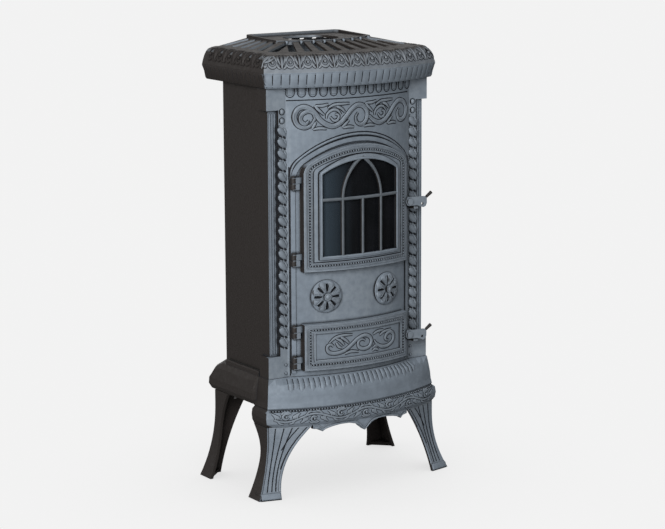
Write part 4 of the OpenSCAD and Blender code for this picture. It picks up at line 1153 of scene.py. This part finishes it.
for side in (-1, 1):
    frontLeg(side)
print("room stove: legs")


# Lights, floor and camera
studio = {"floorSize": 60.0, "floorTone": 0.40, "backdrop": 0.89, "fill": (0.13, 0.125, 0.12),
          "keyPower": 205.0, "keySize": 2.2, "keyDistance": 4.3, "keyAzimuth": -48.0, "keyHeight": 2.1,
          "keyAim": 0.5}
view = {"sensor": 36.0, "lens": 120.94, "clipEnd": 200, "place": (-2.6480, -4.1297, 1.4101),
        "right": (0.83871, -0.54455, -0.004396), "up": (0.105514, 0.154583, 0.982325)}


def studioFloor():
    bm = bmesh.new()
    bmesh.ops.create_grid(bm, x_segments=8, y_segments=8, size=studio["floorSize"] / 2)
    mesh = bpy.data.meshes.new("floor")
    bm.to_mesh(mesh)
    bm.free()
    finish, tree, shader = newFinish("paleFloor")
    tone = (*grey(studio["floorTone"]), 1)
    feed(tree, shader, {"Base Color": tone, "Roughness": 0.9, "Specular IOR Level": 0.1})
    # The camera sees the floor at the backdrop's own tone, darkened only where the stove shades it
    back = studio["backdrop"]
    seen = addNode(tree, "ShaderNodeLightPath").outputs["Is Camera Ray"]
    shade = addNode(tree, "ShaderNodeAmbientOcclusion", {"Distance": 0.5}, samples=8).outputs["AO"]
    tone = greyRamp(tree, shade, (0.2, back * 0.80), (0.95, back))
    glow = addNode(tree, "ShaderNodeEmission", {"Color": tone, "Strength": 1.0})
    mix = addNode(tree, "ShaderNodeMixShader", {0: seen, 1: shader.outputs[0], 2: glow.outputs[0]})
    tree.links.new(mix.outputs[0], tree.nodes["Material Output"].inputs["Surface"])
    mesh.materials.append(finish)
    floor = bpy.data.objects.new("floor", mesh)
    scene.collection.objects.link(floor)


def studioWorld():
    world = bpy.data.worlds.new("studio")
    scene.world = world
    world.use_nodes = True
    tree = world.node_tree
    rays = addNode(tree, "ShaderNodeLightPath").outputs
    seen = calc(tree, "ADD", rays["Is Camera Ray"], rays["Is Glossy Ray"], use_clamp=True)
    seen = calc(tree, "ADD", seen, rays["Is Transmission Ray"], use_clamp=True)
    tone = blend(tree, seen, studio["fill"], grey(studio["backdrop"]))
    feed(tree, tree.nodes["Background"], {"Color": tone, "Strength": 1.0})


def studioKey():
    light = bpy.data.lights.new("key", "AREA")
    light.energy = studio["keyPower"]
    light.size = studio["keySize"]
    lamp = bpy.data.objects.new("key", light)
    scene.collection.objects.link(lamp)
    angle = math.radians(studio["keyAzimuth"])
    reach = studio["keyDistance"]
    lamp.location = (math.sin(angle) * reach, -math.cos(angle) * reach, studio["keyHeight"])
    aim = Vector((0, 0, studio["keyAim"])) - lamp.location
    lamp.rotation_euler = aim.to_track_quat("-Z", "Y").to_euler()


def studioCamera():
    camera = bpy.data.cameras.new("photo")
    camera.sensor_width = view["sensor"]
    camera.lens = view["lens"]
    camera.clip_end = view["clipEnd"]
    holder = bpy.data.objects.new("photo", camera)
    scene.collection.objects.link(holder)
    right = Vector(view["right"])
    back = right.cross(Vector(view["up"])).normalized()
    up = back.cross(right).normalized()
    turn = Matrix((right, up, back)).transposed().to_4x4()
    holder.matrix_world = Matrix.Translation(view["place"]) @ turn
    scene.camera = holder


studioFloor()
studioWorld()
studioKey()
studioCamera()
scene.view_settings.view_transform = "Standard"
print("room stove: studio ready")
